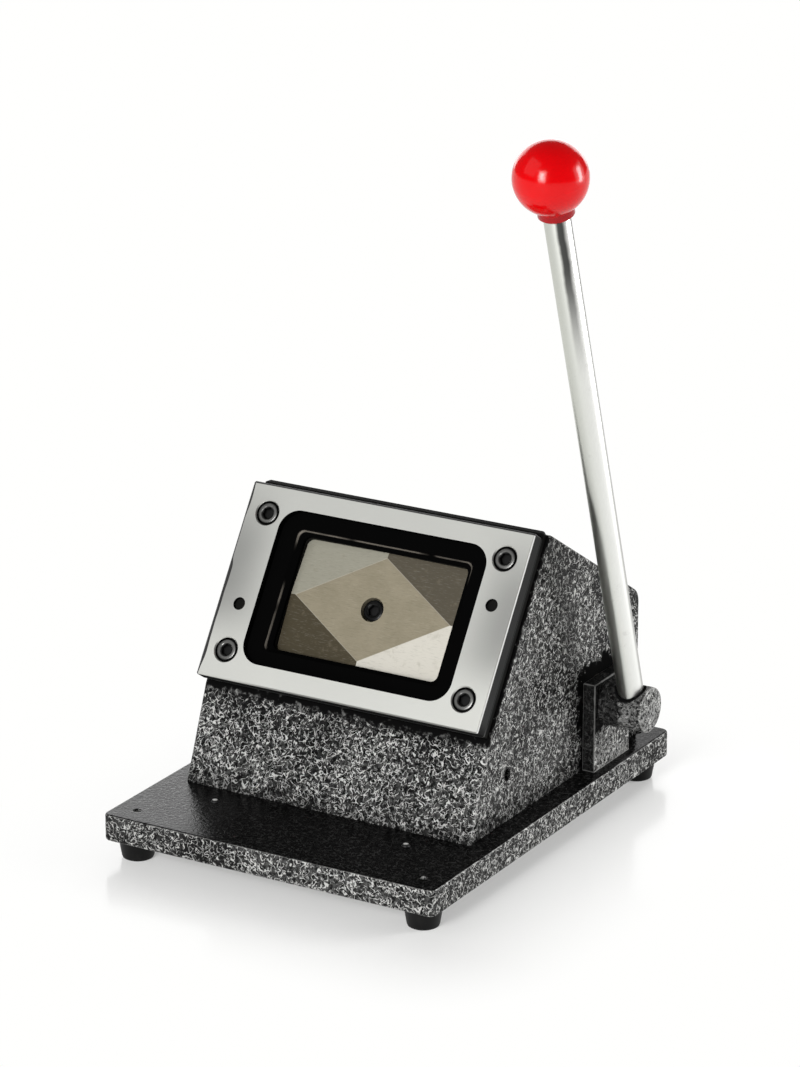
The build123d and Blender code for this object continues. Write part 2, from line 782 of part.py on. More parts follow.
def punch():
    """Male die of card size, its corners ground back so that it shears."""
    block = slab(card_width, card_height, punch_face, punch_back, card_corner_radius)
    corner = card_width / (2 * rhombus_half_width) + card_height / (2 * rhombus_half_height) - 1
    reach = corner / math.hypot(1 / rhombus_half_width, 1 / rhombus_half_height)
    fall = facet_drop / reach
    for side in (-1, 1):
        for end in (-1, 1):
            outward = Vector(side / rhombus_half_width, end / rhombus_half_height, 0).normalized()
            along = Vector(-outward.Y, outward.X, 0)
            normal = Vector(outward.X * fall, outward.Y * fall, 1).normalized()
            plane = Plane(
                origin=(side * rhombus_half_width, 0, -punch_face), x_dir=along, z_dir=normal
            )
            waste = Pos(0, 0, card_height / 2) * Box(4 * card_width, 4 * card_width, card_height)
            block -= plane.location * waste
    seat = punch_screw_seat()
    block -= bore(0, 0, screw_clearance_diameter, punch_face - overrun, punch_back + overrun)
    block -= bore(0, 0, counterbore_diameter, punch_face - overrun, seat)
    for side in (-1, 1):
        start = punch_back - punch_dowel_depth
        block -= bore(side * punch_dowel_pitch / 2, 0, dowel_diameter, start, punch_back + overrun)
    return on_slope(block)


def punch_screw():
    """Socket screw that pulls the punch onto the ram."""
    screw = socket_screw(
        screw_size, punch_screw_length, screw_head_diameter, screw_head_height,
        screw_socket_width, screw_socket_depth,
    )
    return on_slope(Pos(0, 0, -punch_face - punch_screw_recess) * screw)


def punch_dowels():
    """Pins that keep the punch square on the ram."""
    start = punch_back - punch_dowel_depth
    end = punch_back + punch_dowel_depth
    x = punch_dowel_pitch / 2
    return group(on_slope(bore(side * x, 0, dowel_diameter, start, end)) for side in (-1, 1))


def crosshead_screw_places():
    """X and rise of the screws that hold the crosshead."""
    x = crosshead_screw_pitch_x / 2
    rise = crosshead_screw_pitch_v / 2
    return [(side * x, end * rise) for side in (-1, 1) for end in (-1, 1)]


def ram():
    """Steel block that slides in the gibs."""
    block = slab(ram_width, ram_height, punch_back, crosshead_front)
    screw_end = punch_screw_seat() + punch_screw_length + thread_run_out
    block -= bore(0, 0, screw_size, punch_back - overrun, screw_end)
    for side in (-1, 1):
        end = punch_back + punch_dowel_depth
        block -= bore(side * punch_dowel_pitch / 2, 0, dowel_diameter, punch_back - overrun, end)
    bite = crosshead_screw_length - crosshead_thickness + crosshead_screw_head_height + thread_run_out
    for x, rise in crosshead_screw_places():
        block -= bore(x, rise, crosshead_screw_size, crosshead_front - bite, crosshead_front + overrun)
    return on_slope(block)


def crosshead():
    """Bar across the rear of the ram that the two springs push back."""
    bar = slab(crosshead_width, crosshead_height, crosshead_front, crosshead_back)
    bar -= slab(pad_width, pad_height, pad_face - pad_thickness, crosshead_back + overrun)
    for side in (-1, 1):
        x = side * spring_pitch_x / 2
        hole = spring_bolt_diameter + 2 * spring_bolt_clearance
        bar -= bore(x, 0, hole, crosshead_front - overrun, crosshead_back + overrun)
        x = side * pad_screw_pitch / 2
        bar -= bore(x, 0, pad_screw_size, crosshead_front - overrun, crosshead_back)
    for x, rise in crosshead_screw_places():
        clear = crosshead_screw_size + seat_gap
        bar -= bore(x, rise, clear, crosshead_front - overrun, crosshead_back + overrun)
        start = crosshead_back - crosshead_screw_head_height
        bar -= bore(x, rise, crosshead_screw_head + seat_gap, start, crosshead_back + overrun)
    return on_slope(bar)


def crosshead_screws():
    """Socket screws that hold the crosshead on the ram."""
    screw = socket_screw(
        crosshead_screw_size, crosshead_screw_length, crosshead_screw_head,
        crosshead_screw_head_height, crosshead_screw_socket, crosshead_screw_head_height / 2,
    )
    turned = Rot(180, 0, 0) * screw
    return group(
        on_slope(Pos(x, rise, -crosshead_back) * turned) for x, rise in crosshead_screw_places()
    )


def follower_pad():
    """Hardened pad that the eccentric's ring rolls on."""
    pad = slab(pad_width, pad_height, pad_face - pad_thickness, pad_face)
    for side in (-1, 1):
        x = side * pad_screw_pitch / 2
        pad -= bore(x, 0, pad_screw_size, pad_face - pad_thickness - overrun, pad_face + overrun)
        mouth = Cone(pad_screw_head / 2, pad_screw_size / 2, pad_screw_cone)
        pad -= Pos(x, 0, -pad_face + pad_screw_cone / 2) * mouth
    return on_slope(pad)


def pad_screws():
    """Countersunk screws of the pad, clear of the ring."""
    screw = Rot(180, 0, 0) * countersunk_screw(pad_screw_size, pad_screw_length, pad_screw_head, pad_screw_cone)
    x = pad_screw_pitch / 2
    return group(on_slope(Pos(side * x, 0, -pad_face) * screw) for side in (-1, 1))


def side_gib_screw_places():
    """Side and depth of the screws in the two side gibs."""
    middle = (chamber_back + guide_block_back) / 2
    return [(side, middle + end * gib_screw_pitch / 2) for side in (-1, 1) for end in (-1, 1)]


def flat_gib_screw_places():
    """X, side and depth of the screws in the upper and lower gibs."""
    middle = (chamber_back + guide_block_back) / 2
    return [(end * flat_gib_screw_pitch / 2, side, middle) for side in (-1, 1) for end in (-1, 1)]


def gib_screw_hole():
    """Clearance for a gib screw, with its mouth at the origin."""
    hole = Pos(0, 0, -gib_screw_cone / 2) * Cone(gib_screw_size / 2, gib_screw_head / 2, gib_screw_cone)
    return hole + Pos(0, 0, -gib_thickness / 2) * Cylinder(gib_screw_size / 2, gib_thickness * 2)


def side_gib_place(side, depth):
    """Where a side gib's screw lies, its point outward."""
    return Pos(side * (ram_width / 2 + gib_clearance), 0, -depth) * Rot(0, -90 * side, 0)


def flat_gib_place(x, side, depth):
    """Where an upper or lower gib's screw lies, its point outward."""
    return Pos(x, side * (ram_height / 2 + gib_clearance), -depth) * Rot(90 * side, 0, 0)


def side_gibs():
    """Bronze strips at the two sides of the ram."""
    pair = []
    for side in (-1, 1):
        centre = side * (ram_width / 2 + gib_clearance + gib_thickness / 2)
        height = ram_height + 2 * gib_clearance
        strip = Pos(centre, 0, 0) * slab(gib_thickness, height, chamber_back, guide_block_back)
        for face, depth in side_gib_screw_places():
            if face == side:
                strip -= side_gib_place(side, depth) * gib_screw_hole()
        pair.append(on_slope(strip))
    return group(pair)


def flat_gib(side):
    """Bronze strip above or below the ram, the full width of the channel."""
    centre = side * (ram_height / 2 + gib_clearance + gib_thickness / 2)
    strip = Pos(0, centre, 0) * slab(channel_width, gib_thickness, chamber_back, guide_block_back)
    for x, face, depth in flat_gib_screw_places():
        if face == side:
            strip -= flat_gib_place(x, side, depth) * gib_screw_hole()
    return on_slope(strip)


def gib_screws():
    """Countersunk screws of the four gibs, their heads flush."""
    screw = countersunk_screw(gib_screw_size, gib_screw_length, gib_screw_head, gib_screw_cone)
    places = [side_gib_place(side, depth) for side, depth in side_gib_screw_places()]
    places += [flat_gib_place(x, side, depth) for x, side, depth in flat_gib_screw_places()]
    return group(on_slope(place * screw) for place in places)


def spring_bolts():
    """Shoulder bolts that guide the springs and stop the crosshead at rest."""
    shoulder_end = crosshead_back + seat_gap
    bolts = []
    for side in (-1, 1):
        x = side * spring_pitch_x / 2
        bolt = bore(x, 0, spring_bolt_diameter, spring_seat, shoulder_end)
        bolt += bore(x, 0, spring_bolt_thread, spring_seat - spring_bolt_thread_length, spring_seat)
        head_end = shoulder_end + spring_bolt_head_height
        bolt += bore(x, 0, spring_bolt_head, shoulder_end, head_end)
        hexagon = RegularPolygon(spring_bolt_socket / 2, 6, major_radius=False)
        bolt -= Pos(x, 0, -head_end - overrun) * extrude(hexagon, spring_bolt_socket_depth + overrun)
        bolts.append(on_slope(bolt))
    return group(bolts)


def spring_knots(length):
    """Points and directions along the wire's centre, four to a turn."""
    end_pitch = spring_wire + spring_end_gap
    live_pitch = (length - spring_wire - 2 * spring_end_turns * end_pitch) / spring_live_turns
    steps = [end_pitch / 4] * (4 * spring_end_turns)
    steps = steps + [live_pitch / 4] * (4 * spring_live_turns) + steps
    radius = spring_mean_diameter / 2
    height = spring_wire / 2
    knots = []
    for index in range(len(steps) + 1):
        before = steps[max(index - 1, 0)]
        after = steps[min(index, len(steps) - 1)]
        angle = index * math.pi / 2
        climb = (before + after) / math.pi
        point = Vector(radius * math.cos(angle), radius * math.sin(angle), height)
        course = Vector(-radius * math.sin(angle), radius * math.cos(angle), climb).normalized()
        knots.append((point, course))
        height += after
    return knots


def spring_path(knots):
    """Two tangent arcs between each two neighbouring knots."""
    arcs = []
    for (start, leave), (end, arrive) in zip(knots, knots[1:]):
        gap = end - start
        both = leave + arrive
        spread = 2 * (1 - leave.dot(arrive))
        lean = gap.dot(both)
        reach = (math.sqrt(lean * lean + spread * gap.dot(gap)) - lean) / spread
        first = start + leave * reach
        last = end - arrive * reach
        joint = (first + last) / 2
        arcs.append(TangentArc(start, joint, tangent=leave))
        arcs.append(TangentArc(joint, end, tangent=last - first))
    return Wire(arcs)


def least_gap(path):
    """Least space between the wire and its own neighbouring turns."""
    turns = spring_live_turns + 2 * spring_end_turns
    half_turn = 32
    count = 2 * half_turn * turns
    points = [path @ (index / count) for index in range(count + 1)]
    gaps = [
        (points[b] - points[a]).length
        for a in range(len(points))
        for b in range(a + half_turn, min(a + 3 * half_turn, len(points)))
    ]
    return min(gaps) - spring_wire


def return_spring(side):
    """Round-wire compression spring between the guide block and the crosshead."""
    knots = spring_knots(crosshead_front - spring_seat)
    path = spring_path(knots)
    start, course = knots[0]
    section = Plane(origin=start, z_dir=course) * Circle(spring_wire / 2)
    spring = sweep(section, path=path)
    if side > 0:
        print("least gap of the spring to itself", round(least_gap(path), 3))
        tube = math.pi * spring_wire ** 2 / 4 * path.length
        print("spring volume", round(spring.volume, 2), "section times length", round(tube, 2))
    return on_slope(Pos(side * spring_pitch_x / 2, 0, -crosshead_front) * spring)


def bearing_block(side):
    """Upright block on the base that covers the end of the bush."""
    height = shaft_z + block_above_shaft - base_top
    middle = shaft_y + (block_behind_shaft - block_ahead_of_shaft) / 2
    block = Box(block_thickness, block_ahead_of_shaft + block_behind_shaft, height)
    rims = [edge for edge in block.edges() if edge.center().Z > block_edge_radius - height / 2]
    block = fillet(rims, block_edge_radius)
    block = Pos((body_side + block_side) / 2, middle, base_top + height / 2) * block
    clear = shaft_diameter + 2 * seat_gap
    block -= at_shaft(cross_rod(clear, body_side - overrun, block_side + overrun))
    for y, z in block_screw_places:
        thread = cross_rod(block_screw_size, body_side - overrun, body_side + block_screw_bite)
        block -= Pos(0, y, z) * thread
    return block if side > 0 else mirror(block, Plane.YZ)


def block_screws():
    """Screws from inside the body into the outer blocks."""
    grip = side_wall - block_screw_head_height + block_screw_bite
    screw = socket_screw(
        block_screw_size, grip, block_screw_head, block_screw_head_height,
        block_screw_socket, block_screw_head_height / 2,
    )
    return group(
        Pos(side * cavity_side, y, z) * Rot(0, -90 * side, 0) * screw
        for side in (-1, 1)
        for y, z in block_screw_places
    )


def bush(side):
    """Flanged bronze bush, put in from inside the body."""
    sleeve = cross_rod(bush_outer_diameter, cavity_side, body_side)
    sleeve += cross_rod(bush_flange_diameter, cavity_side - bush_flange_width, cavity_side)
    inner = shaft_diameter + 2 * running_fit
    sleeve -= cross_rod(inner, cavity_side - bush_flange_width - overrun, body_side + overrun)
    sleeve = at_shaft(sleeve)
    return sleeve if side > 0 else mirror(sleeve, Plane.YZ)


# Places along the shaft, and the turn that points the eccentric's throw the right way
hub_inner = block_side + seat_gap
hub_outer = hub_inner + hub_length
spigot_end = hub_outer - hub_end_wall
rod_x = hub_outer - rod_setback_from_hub_end
collar_inner = -block_side - seat_gap
collar_outer = collar_inner - collar_width
shaft_end = collar_outer - shaft_end_proud
throw_turn = -(tilt_angle + lever_swing / 2)
ring_side = ring_width / 2
cam_start = -ring_side - ring_side_play - eccentric_flange_width
clip_start = ring_side + ring_side_play
clip_end = clip_start + ring_clip_width
cam_end = clip_end + ring_clip_land
cam_hub_end = cam_end + cam_hub_length
cam_screw_x = (cam_end + cam_hub_end) / 2


def key_block():
    """The key's own form, on the thick side of the eccentric."""
    low = shaft_diameter / 2 - key_height * key_shaft_share
    return Pos(0, 0, low + key_height / 2) * Box(key_length, key_width, key_height)


def main_shaft():
    """Turned shaft with a keyway, and a spigot that carries the lever hub."""
    shaft = cross_rod(shaft_diameter, shaft_end, hub_inner)
    shaft += cross_rod(hub_spigot_diameter, hub_inner, spigot_end)
    shaft -= Rot(throw_turn, 0, 0) * key_block()
    thread = Pos(rod_x, 0, 0) * Cylinder(rod_tip_diameter / 2, hub_diameter * 2)
    shaft -= Rot(lever_rest_lean, 0, 0) * thread
    return at_shaft(shaft)


def eccentric_cam():
    """Eccentric keyed to the shaft, with a flange on one side and a hub on the other."""
    offset = Pos(0, 0, eccentric_throw)
    journal = 2 * (ring_inner_radius - running_fit)
    cam = offset * cross_rod(journal, cam_start, cam_end)
    flange = journal + 2 * eccentric_flange_proud
    cam += offset * cross_rod(flange, cam_start, cam_start + eccentric_flange_width)
    cam += cross_rod(cam_hub_diameter, cam_end, cam_hub_end)
    groove = cross_rod(journal + overrun, clip_start, clip_end)
    groove -= cross_rod(journal - 2 * ring_clip_depth, clip_start - overrun, clip_end + overrun)
    cam -= offset * groove
    cam -= cross_rod(shaft_diameter, cam_start - overrun, cam_hub_end + overrun)
    cam -= key_block()
    hole = Cylinder(set_screw_size / 2, cam_hub_diameter)
    cam -= Pos(cam_screw_x, 0, cam_hub_diameter / 2) * hole
    return at_shaft(cam, throw_turn)


def cam_key():
    """Square key between the shaft and the eccentric."""
    return at_shaft(key_block(), throw_turn)


def set_screw(x, reach):
    """Headless screw that presses on the shaft at a place along X."""
    screw = Cylinder(set_screw_size / 2, set_screw_length)
    hexagon = RegularPolygon(set_screw_socket / 2, 6, major_radius=False)
    socket = extrude(hexagon, set_screw_socket_depth + overrun)
    screw -= Pos(0, 0, set_screw_length / 2 - set_screw_socket_depth) * socket
    return Pos(x, 0, reach + set_screw_length / 2) * screw


def cam_ring():
    """Hard outer ring that turns on the eccentric and rolls on the pad."""
    ring = cross_rod(2 * ring_outer_radius, -ring_side, ring_side)
    ring -= cross_rod(2 * ring_inner_radius, -ring_side - overrun, ring_side + overrun)
    ring = chamfer(ring.edges().filter_by(GeomType.CIRCLE).sort_by(SortBy.RADIUS)[-2:], ring_side_play)
    return at_shaft(Pos(0, 0, eccentric_throw) * ring, throw_turn)


def cam_retaining_ring():
    """Spring clip in the eccentric's groove that keeps the ring on."""
    inner = ring_inner_radius - running_fit - ring_clip_depth
    clip = cross_rod(2 * (inner + eccentric_flange_proud), clip_start, clip_end)
    clip -= cross_rod(2 * inner, clip_start - overrun, clip_end + overrun)
    opening = Box(ring_clip_width * 3, ring_clip_gap, ring_outer_radius)
    clip -= Pos((clip_start + clip_end) / 2, 0, ring_outer_radius) * opening
    return at_shaft(Pos(0, 0, eccentric_throw) * clip, throw_turn)


def shaft_collar():
    """Steel collar on the free end of the shaft."""
    collar = cross_rod(collar_diameter, collar_outer, collar_inner)
    collar = chamfer(collar.edges().filter_by(GeomType.CIRCLE), collar_chamfer)
    collar -= cross_rod(shaft_diameter, collar_outer - overrun, collar_inner + overrun)
    middle = (collar_outer + collar_inner) / 2
    collar -= Pos(middle, 0, collar_diameter / 2) * Cylinder(set_screw_size / 2, collar_diameter)
    return at_shaft(collar)


def lever_hub():
    """Round hub closed at its outer end, bored across for the rod."""
    hub = cross_rod(hub_diameter, hub_inner, hub_outer)
    rim = hub.edges().filter_by(GeomType.CIRCLE).sort_by(Axis.X)[-1]
    hub = fillet(rim, hub_edge_radius)
    hub -= cross_rod(hub_spigot_diameter, hub_inner - overrun, spigot_end)
    socket = Pos(rod_x, 0, rod_seat_radius + hub_diameter / 2) * Cylinder(rod_diameter / 2, hub_diameter)
    mouth_radius = rod_diameter / 2 + rod_seat_chamfer
    mouth = Cone(rod_diameter / 2, mouth_radius, rod_seat_chamfer)
    socket += Pos(rod_x, 0, hub_diameter / 2 - rod_seat_chamfer / 2) * mouth
    socket += Pos(rod_x, 0, 0) * Cylinder(rod_tip_diameter / 2, 2 * rod_seat_radius)
    return at_shaft(hub - Rot(lever_rest_lean, 0, 0) * socket)


def lever_rod():
    """Bright round rod, stepped at both ends, that screws through the hub into the shaft."""
    neck = knob_centre_distance - knob_neck_distance
    rod = Pos(0, 0, (rod_seat_radius + neck) / 2) * Cylinder(rod_diameter / 2, neck - rod_seat_radius)
    low = rod_seat_radius - rod_tip_reach
    high = neck + knob_thread_depth
    rod += Pos(0, 0, (low + high) / 2) * Cylinder(rod_tip_diameter / 2, high - low)
    return at_shaft(Pos(rod_x, 0, 0) * rod, lever_rest_lean)


def ball_knob():
    """Moulded ball with a short neck, threaded on the rod."""
    neck_base = knob_centre_distance - knob_neck_distance
    knob = Pos(0, 0, knob_centre_distance) * Sphere(knob_diameter / 2)
    neck = Cylinder(knob_neck_diameter / 2, knob_neck_distance)
    knob += Pos(0, 0, neck_base + knob_neck_distance / 2) * neck
    thread = Cylinder(rod_tip_diameter / 2, knob_thread_depth + overrun)
    knob -= Pos(0, 0, neck_base + (knob_thread_depth - overrun) / 2) * thread
    return at_shaft(Pos(rod_x, 0, 0) * knob, lever_rest_lean)


# The standing parts
write(base_plate(), "base_plate")
write(rubber_feet(), "rubber_feet")
write(foot_washers(), "foot_washers")
write(foot_screws(), "foot_screws")
write(card_stop_pins(), "card_stop_pins")
write(body_housing(), "body_housing")
write(body_bolts(), "body_bolts")
write(rear_cover(), "rear_cover")
write(rear_cover_screws(), "rear_cover_screws")
write(bearing_block(1), "bearing_block_right")
write(bearing_block(-1), "bearing_block_left")
write(block_screws(), "block_screws")
write(bush(1), "bush_right")
write(bush(-1), "bush_left")

# The die set
write(guide_plate(), "guide_plate")
write(slot_spacers(), "slot_spacers")
write(die_plate(), "die_plate")
write(die_screws(), "die_screws")
write(die_dowels(), "die_dowels")

# The gibs and springs
write(side_gibs(), "side_gibs")
write(flat_gib(1), "upper_gib")
write(flat_gib(-1), "lower_gib")
write(gib_screws(), "gib_screws")
write(spring_bolts(), "spring_bolts")
write(return_spring(1), "return_spring_right")
write(return_spring(-1), "return_spring_left")

# The ram and what slides with it
write(ram(), "ram")
write(crosshead(), "crosshead")
write(crosshead_screws(), "crosshead_screws")
write(follower_pad(), "follower_pad")
write(pad_screws(), "pad_screws")
write(punch(), "punch")
write(punch_screw(), "punch_screw")
write(punch_dowels(), "punch_dowels")

# The shaft and what turns with it
write(main_shaft(), "main_shaft")
write(eccentric_cam(), "eccentric_cam")
write(cam_key(), "cam_key")
write(at_shaft(set_screw(cam_screw_x, shaft_diameter / 2), throw_turn), "cam_set_screw")
write(cam_ring(), "cam_ring")
write(cam_retaining_ring(), "cam_retaining_ring")
write(shaft_collar(), "shaft_collar")
write(at_shaft(set_screw((collar_outer + collar_inner) / 2, shaft_diameter / 2)), "collar_set_screw")
write(lever_hub(), "lever_hub")
write(lever_rod(), "lever_rod")
write(ball_knob(), "ball_knob")

# What the record needs to know
print("shaft at", round(shaft_y, 3), round(shaft_z, 3))
ring_y, ring_z = side_point(eccentric_depth, eccentric_rise)
print("eccentric at", round(ring_y, 3), round(ring_z, 3))
print("ram stroke", round(ram_stroke, 3), "ratio", round(ram_stroke / math.radians(lever_swing), 5))
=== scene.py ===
from functools import reduce
from itertools import combinations
import json
import math

import bmesh
import bpy
from mathutils import Matrix, Vector


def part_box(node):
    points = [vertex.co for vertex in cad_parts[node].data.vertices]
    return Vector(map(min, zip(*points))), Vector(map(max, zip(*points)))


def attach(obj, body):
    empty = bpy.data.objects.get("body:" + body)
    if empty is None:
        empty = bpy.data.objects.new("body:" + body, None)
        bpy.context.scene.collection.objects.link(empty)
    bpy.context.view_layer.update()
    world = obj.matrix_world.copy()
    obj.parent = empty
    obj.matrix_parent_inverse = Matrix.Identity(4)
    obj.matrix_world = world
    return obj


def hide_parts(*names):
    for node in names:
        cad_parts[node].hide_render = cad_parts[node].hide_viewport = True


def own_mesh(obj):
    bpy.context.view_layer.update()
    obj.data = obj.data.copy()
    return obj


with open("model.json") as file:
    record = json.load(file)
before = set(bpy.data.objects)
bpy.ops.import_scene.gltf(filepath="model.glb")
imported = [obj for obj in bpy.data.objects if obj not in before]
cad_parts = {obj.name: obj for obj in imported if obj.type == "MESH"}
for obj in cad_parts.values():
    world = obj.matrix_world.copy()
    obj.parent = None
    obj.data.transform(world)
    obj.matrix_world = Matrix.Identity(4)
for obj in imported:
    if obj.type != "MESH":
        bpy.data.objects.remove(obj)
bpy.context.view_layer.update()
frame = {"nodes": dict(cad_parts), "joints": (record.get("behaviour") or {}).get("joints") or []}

# Base plate
# A flat steel plate with lightly rounded corners, sprayed with black hammer paint. Silver flake in the
# paint gathers into short curly veins as it dries. On the top of the plate the paint runs smooth and
# glossy, and is darkened to near black as painted shade, with a painted reflection that grows towards
# the left. Along the edges it is rubbed thin and lightened, which also paints highlights there.
RIGHT = Vector((1, 0, 0))
BACK = Vector((0, 1, 0))
UP = Vector((0, 0, 1))
MIDDLE = Vector((0, 0, 0))
VEIN_PITCH = 0.0027
VEIN_HALF = 0.044
PAINT_BLACK = (0.004, 0.004, 0.004)
# The darker black of the smooth top of the base is painted shade.
SHADED_SMOOTH_BLACK = (0.003, 0.003, 0.003)
PAINT_HAZE = (0.064, 0.064, 0.063)
PAINT_SILVER = (0.54, 0.54, 0.525)
PAINT_GLOSS = 0.25
PAINT_RELIEF = 0.00007
# Rubbed edges show bare steel, lighter than the paint, which also paints highlights along them.
BARE_STEEL_HIGHLIGHT = (0.36, 0.36, 0.35)
# Where the painted reflection on the top of the base runs, strongest at the left.
REFLECTION_LEFT = -0.055
REFLECTION_RIGHT = -0.020


class Flow:
    """A value inside a finish. Sums and products of it become Math nodes."""

    def __init__(self, tree, socket=None):
        self.tree = tree
        self.socket = socket

    def node(self, kind, settings, inputs, output=0):
        """Any other node: its settings first, then the values or links of its sockets."""
        made = self.tree.nodes.new("ShaderNode" + kind)
        for key, value in settings.items():
            setattr(made, key, value)
        for key, value in inputs.items():
            socket = made.inputs[key]
            if isinstance(value, Flow):
                self.tree.links.new(value.socket, socket)
            elif socket.type == "RGBA":
                socket.default_value = (*value, 1)
            else:
                socket.default_value = value
        return Flow(self.tree, made.outputs[output]) if made.outputs else made

    def sum(self, operation, first, second=0.0):
        return self.node("Math", {"operation": operation}, {0: first, 1: second})

    def __add__(self, other):
        return self.sum("ADD", self, other)

    __radd__ = __add__

    def __sub__(self, other):
        return self.sum("SUBTRACT", self, other)

    def __rsub__(self, other):
        return self.sum("SUBTRACT", other, self)

    def __mul__(self, other):
        return self.sum("MULTIPLY", self, other)

    __rmul__ = __mul__

    def __abs__(self):
        return self.sum("ABSOLUTE", self)

    def __gt__(self, other):
        return self.sum("GREATER_THAN", self, other)

    def least(self, other):
        return self.sum("MINIMUM", self, other)

    def most(self, other):
        return self.sum("MAXIMUM", self, other)


def new_finish(name):
    """An empty material, and the place on the piece that its patterns follow."""
    made = bpy.data.materials.new(name)
    made.use_nodes = True
    made.node_tree.nodes.clear()
    return made, Flow(made.node_tree).node("TexCoord", {}, {}, "Object")


def coat(flow, inputs):
    """Close a finish with its one shader."""
    shader = flow.node("BsdfPrincipled", {}, inputs)
    flow.node("OutputMaterial", {}, {"Surface": shader})


def noise(where, size, detail=2.0, rough=0.5, twist=0.0):
    """Cloudy value whose patches are about a size across."""
    return where.node("TexNoise", {}, {
        "Vector": where, "Scale": 1 / size, "Detail": detail, "Roughness": rough, "Distortion": twist,
    })


def stray(where, size, reach, detail=3.0, rough=0.5):
    """How far a ragged edge strays, half the reach to each side."""
    return (noise(where, size, detail, rough) - 0.5) * reach


def ease(value, low, high):
    """Nought at low, one at high, and smooth between them."""
    settings = {"interpolation_type": "SMOOTHSTEP"}
    return value.node("MapRange", settings, {"Value": value, "From Min": low, "From Max": high})


def tint(mask, below, above):
    """One colour where the mask is nought, and the other where it is one."""
    return mask.node("Mix", {"data_type": "RGBA"}, {0: mask, 6: below, 7: above}, 2)


def relief(height, depth):
    """Bumps of a real depth."""
    return height.node("Bump", {}, {"Height": height, "Distance": depth, "Strength": 1.0})


def along(where, course, start):
    """How far a place lies from a start, along a course."""
    ahead = where.node("VectorMath", {"operation": "DOT_PRODUCT"}, {0: where, 1: course}, "Value")
    return ahead - start.dot(course)


def rim(depths):
    """How near a place is to where two faces of a piece meet, from its depths under each face."""
    return reduce(Flow.least, (one.most(other) for one, other in combinations(depths, 2)))


def box_depths(where, node):
    """How deep a place lies under the sides of a node's box, along each axis."""
    low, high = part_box(node)
    middle, half = (low + high) / 2, (high - low) / 2
    return [reach - abs(along(where, axis, middle)) for axis, reach in zip((RIGHT, BACK, UP), half)]


def squiggles(where, size, twist, patch, low, high):
    """Short curly lines that come and go in patches."""
    line = abs(noise(where, size, 1.0, 0.5, twist) - 0.5)
    return ease(line, VEIN_HALF, VEIN_HALF * 0.2) * ease(noise(where, patch, 1.0), low, high)


def hammer_paint(name, depths, rubbed, smooth=None, matt=None, haze_shade=PAINT_HAZE, scraped=0.0):
    """Black paint with silver veins: smooth or matt places carry painted shade, edges are rubbed thin
    and lightened as a painted highlight.
    """
    made, where = new_finish(name)
    broad = noise(where, 0.045, 3.0, 0.55)
    curls = squiggles(where, VEIN_PITCH, 0.6, VEIN_PITCH * 0.9, 0.385, 0.515)
    flecks = squiggles(where, VEIN_PITCH * 0.6, 0.5, VEIN_PITCH * 0.7, 0.46, 0.60)
    veins = curls.most(flecks * 0.7)
    haze = ease(noise(where, 0.0016, 3.0, 0.6), 0.38, 0.66) * ease(broad, 0.30, 0.60)
    height = veins * 0.8 + noise(where, 0.0014) * 0.5
    black = PAINT_BLACK
    gloss = PAINT_GLOSS
    plain = 1.0
    flat = 0.0
    polish_and_reflection = 0.0
    # Smooth places lose veins and haze and take a darker black as painted shade.
    if smooth:
        flat = smooth(where)
        veins = veins * (1 - flat * 0.94)
        haze = haze * (1 - flat)
        height = height * (1 - flat * 0.6) + flat * noise(where, 0.0017, 2.0, 0.6) * 3.0
        gloss = PAINT_GLOSS * (1 - flat)
        black = tint(flat, PAINT_BLACK, SHADED_SMOOTH_BLACK)
        # Painted reflection: the smooth top is made more metallic towards the left.
        polish_and_reflection = 0.32 + ease(along(where, RIGHT, MIDDLE), REFLECTION_RIGHT, REFLECTION_LEFT) * 0.34
    # Matt places lose veins, haze and coat; on the body, blocks and hub they are mostly painted shade.
    if matt:
        plain = 1 - matt(where)
        veins = veins * plain
        haze = haze * plain
    colour = tint(veins * (0.45 + broad * 1.1), tint(haze, black, haze_shade), PAINT_SILVER)
    # Edges rubbed thin to bare steel; the lightened edge also paints a highlight along the corners.
    worn = ease(rim(depths(where)) + stray(where, 0.004, 0.0008), rubbed, rubbed * 0.4)
    worn = worn * (scraped + plain * (1 - scraped))
    coat(where, {
        "Base Color": tint(worn * 0.6, colour, BARE_STEEL_HIGHLIGHT),
        "Metallic": (veins * 0.35).most(flat * polish_and_reflection).most(worn * 0.7),
        "Roughness": 0.36 + broad * 0.12 + veins * 0.08 - flat * 0.30,
        "Specular IOR Level": 0.0, "Coat Weight": gloss * plain, "Coat Roughness": 0.14,
        "Normal": relief(height, PAINT_RELIEF),
    })
    return made


def dress(finish, *nodes):
    """Give a finish to pieces whose shape is right as it is."""
    for node in nodes:
        slots = frame["nodes"][node].data.materials
        slots.clear()
        slots.append(finish)


base_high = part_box("base_plate")[1]


def settled_and_shaded(where):
    """The top of the base, where the paint ran smooth and left few veins, darkened as painted shade."""
    return ease(along(where, UP, base_high), -0.0005, -0.0002)


dress(hammer_paint(
    "base_paint", lambda where: box_depths(where, "base_plate"), rubbed=0.0006, smooth=settled_and_shaded,
), "base_plate")

# Rubber feet
# Tapered feet moulded in black rubber, with a thin flash line left by the mould and a round lip
# at the bottom. A zinc screw and washer, deep in each foot's pocket, hold it to the base.
FOOT_RADIUS = 0.0090
FOOT_HOLE = 0.0021
FLASH_HEIGHT = 0.0006
FLASH_STEP = 0.0004
TOE_RADIUS = 0.0070
TOE_FLARE = 0.00035
TOE_HEIGHT = 0.0011
LIP_WIDTH = 0.0005
LIP_RISE = 0.0003
POCKET_RADIUS = 0.0050
POCKET_HEIGHT = 0.0055
POCKET_LIP = 0.0006
POCKET_LIP_HEIGHT = 0.0008


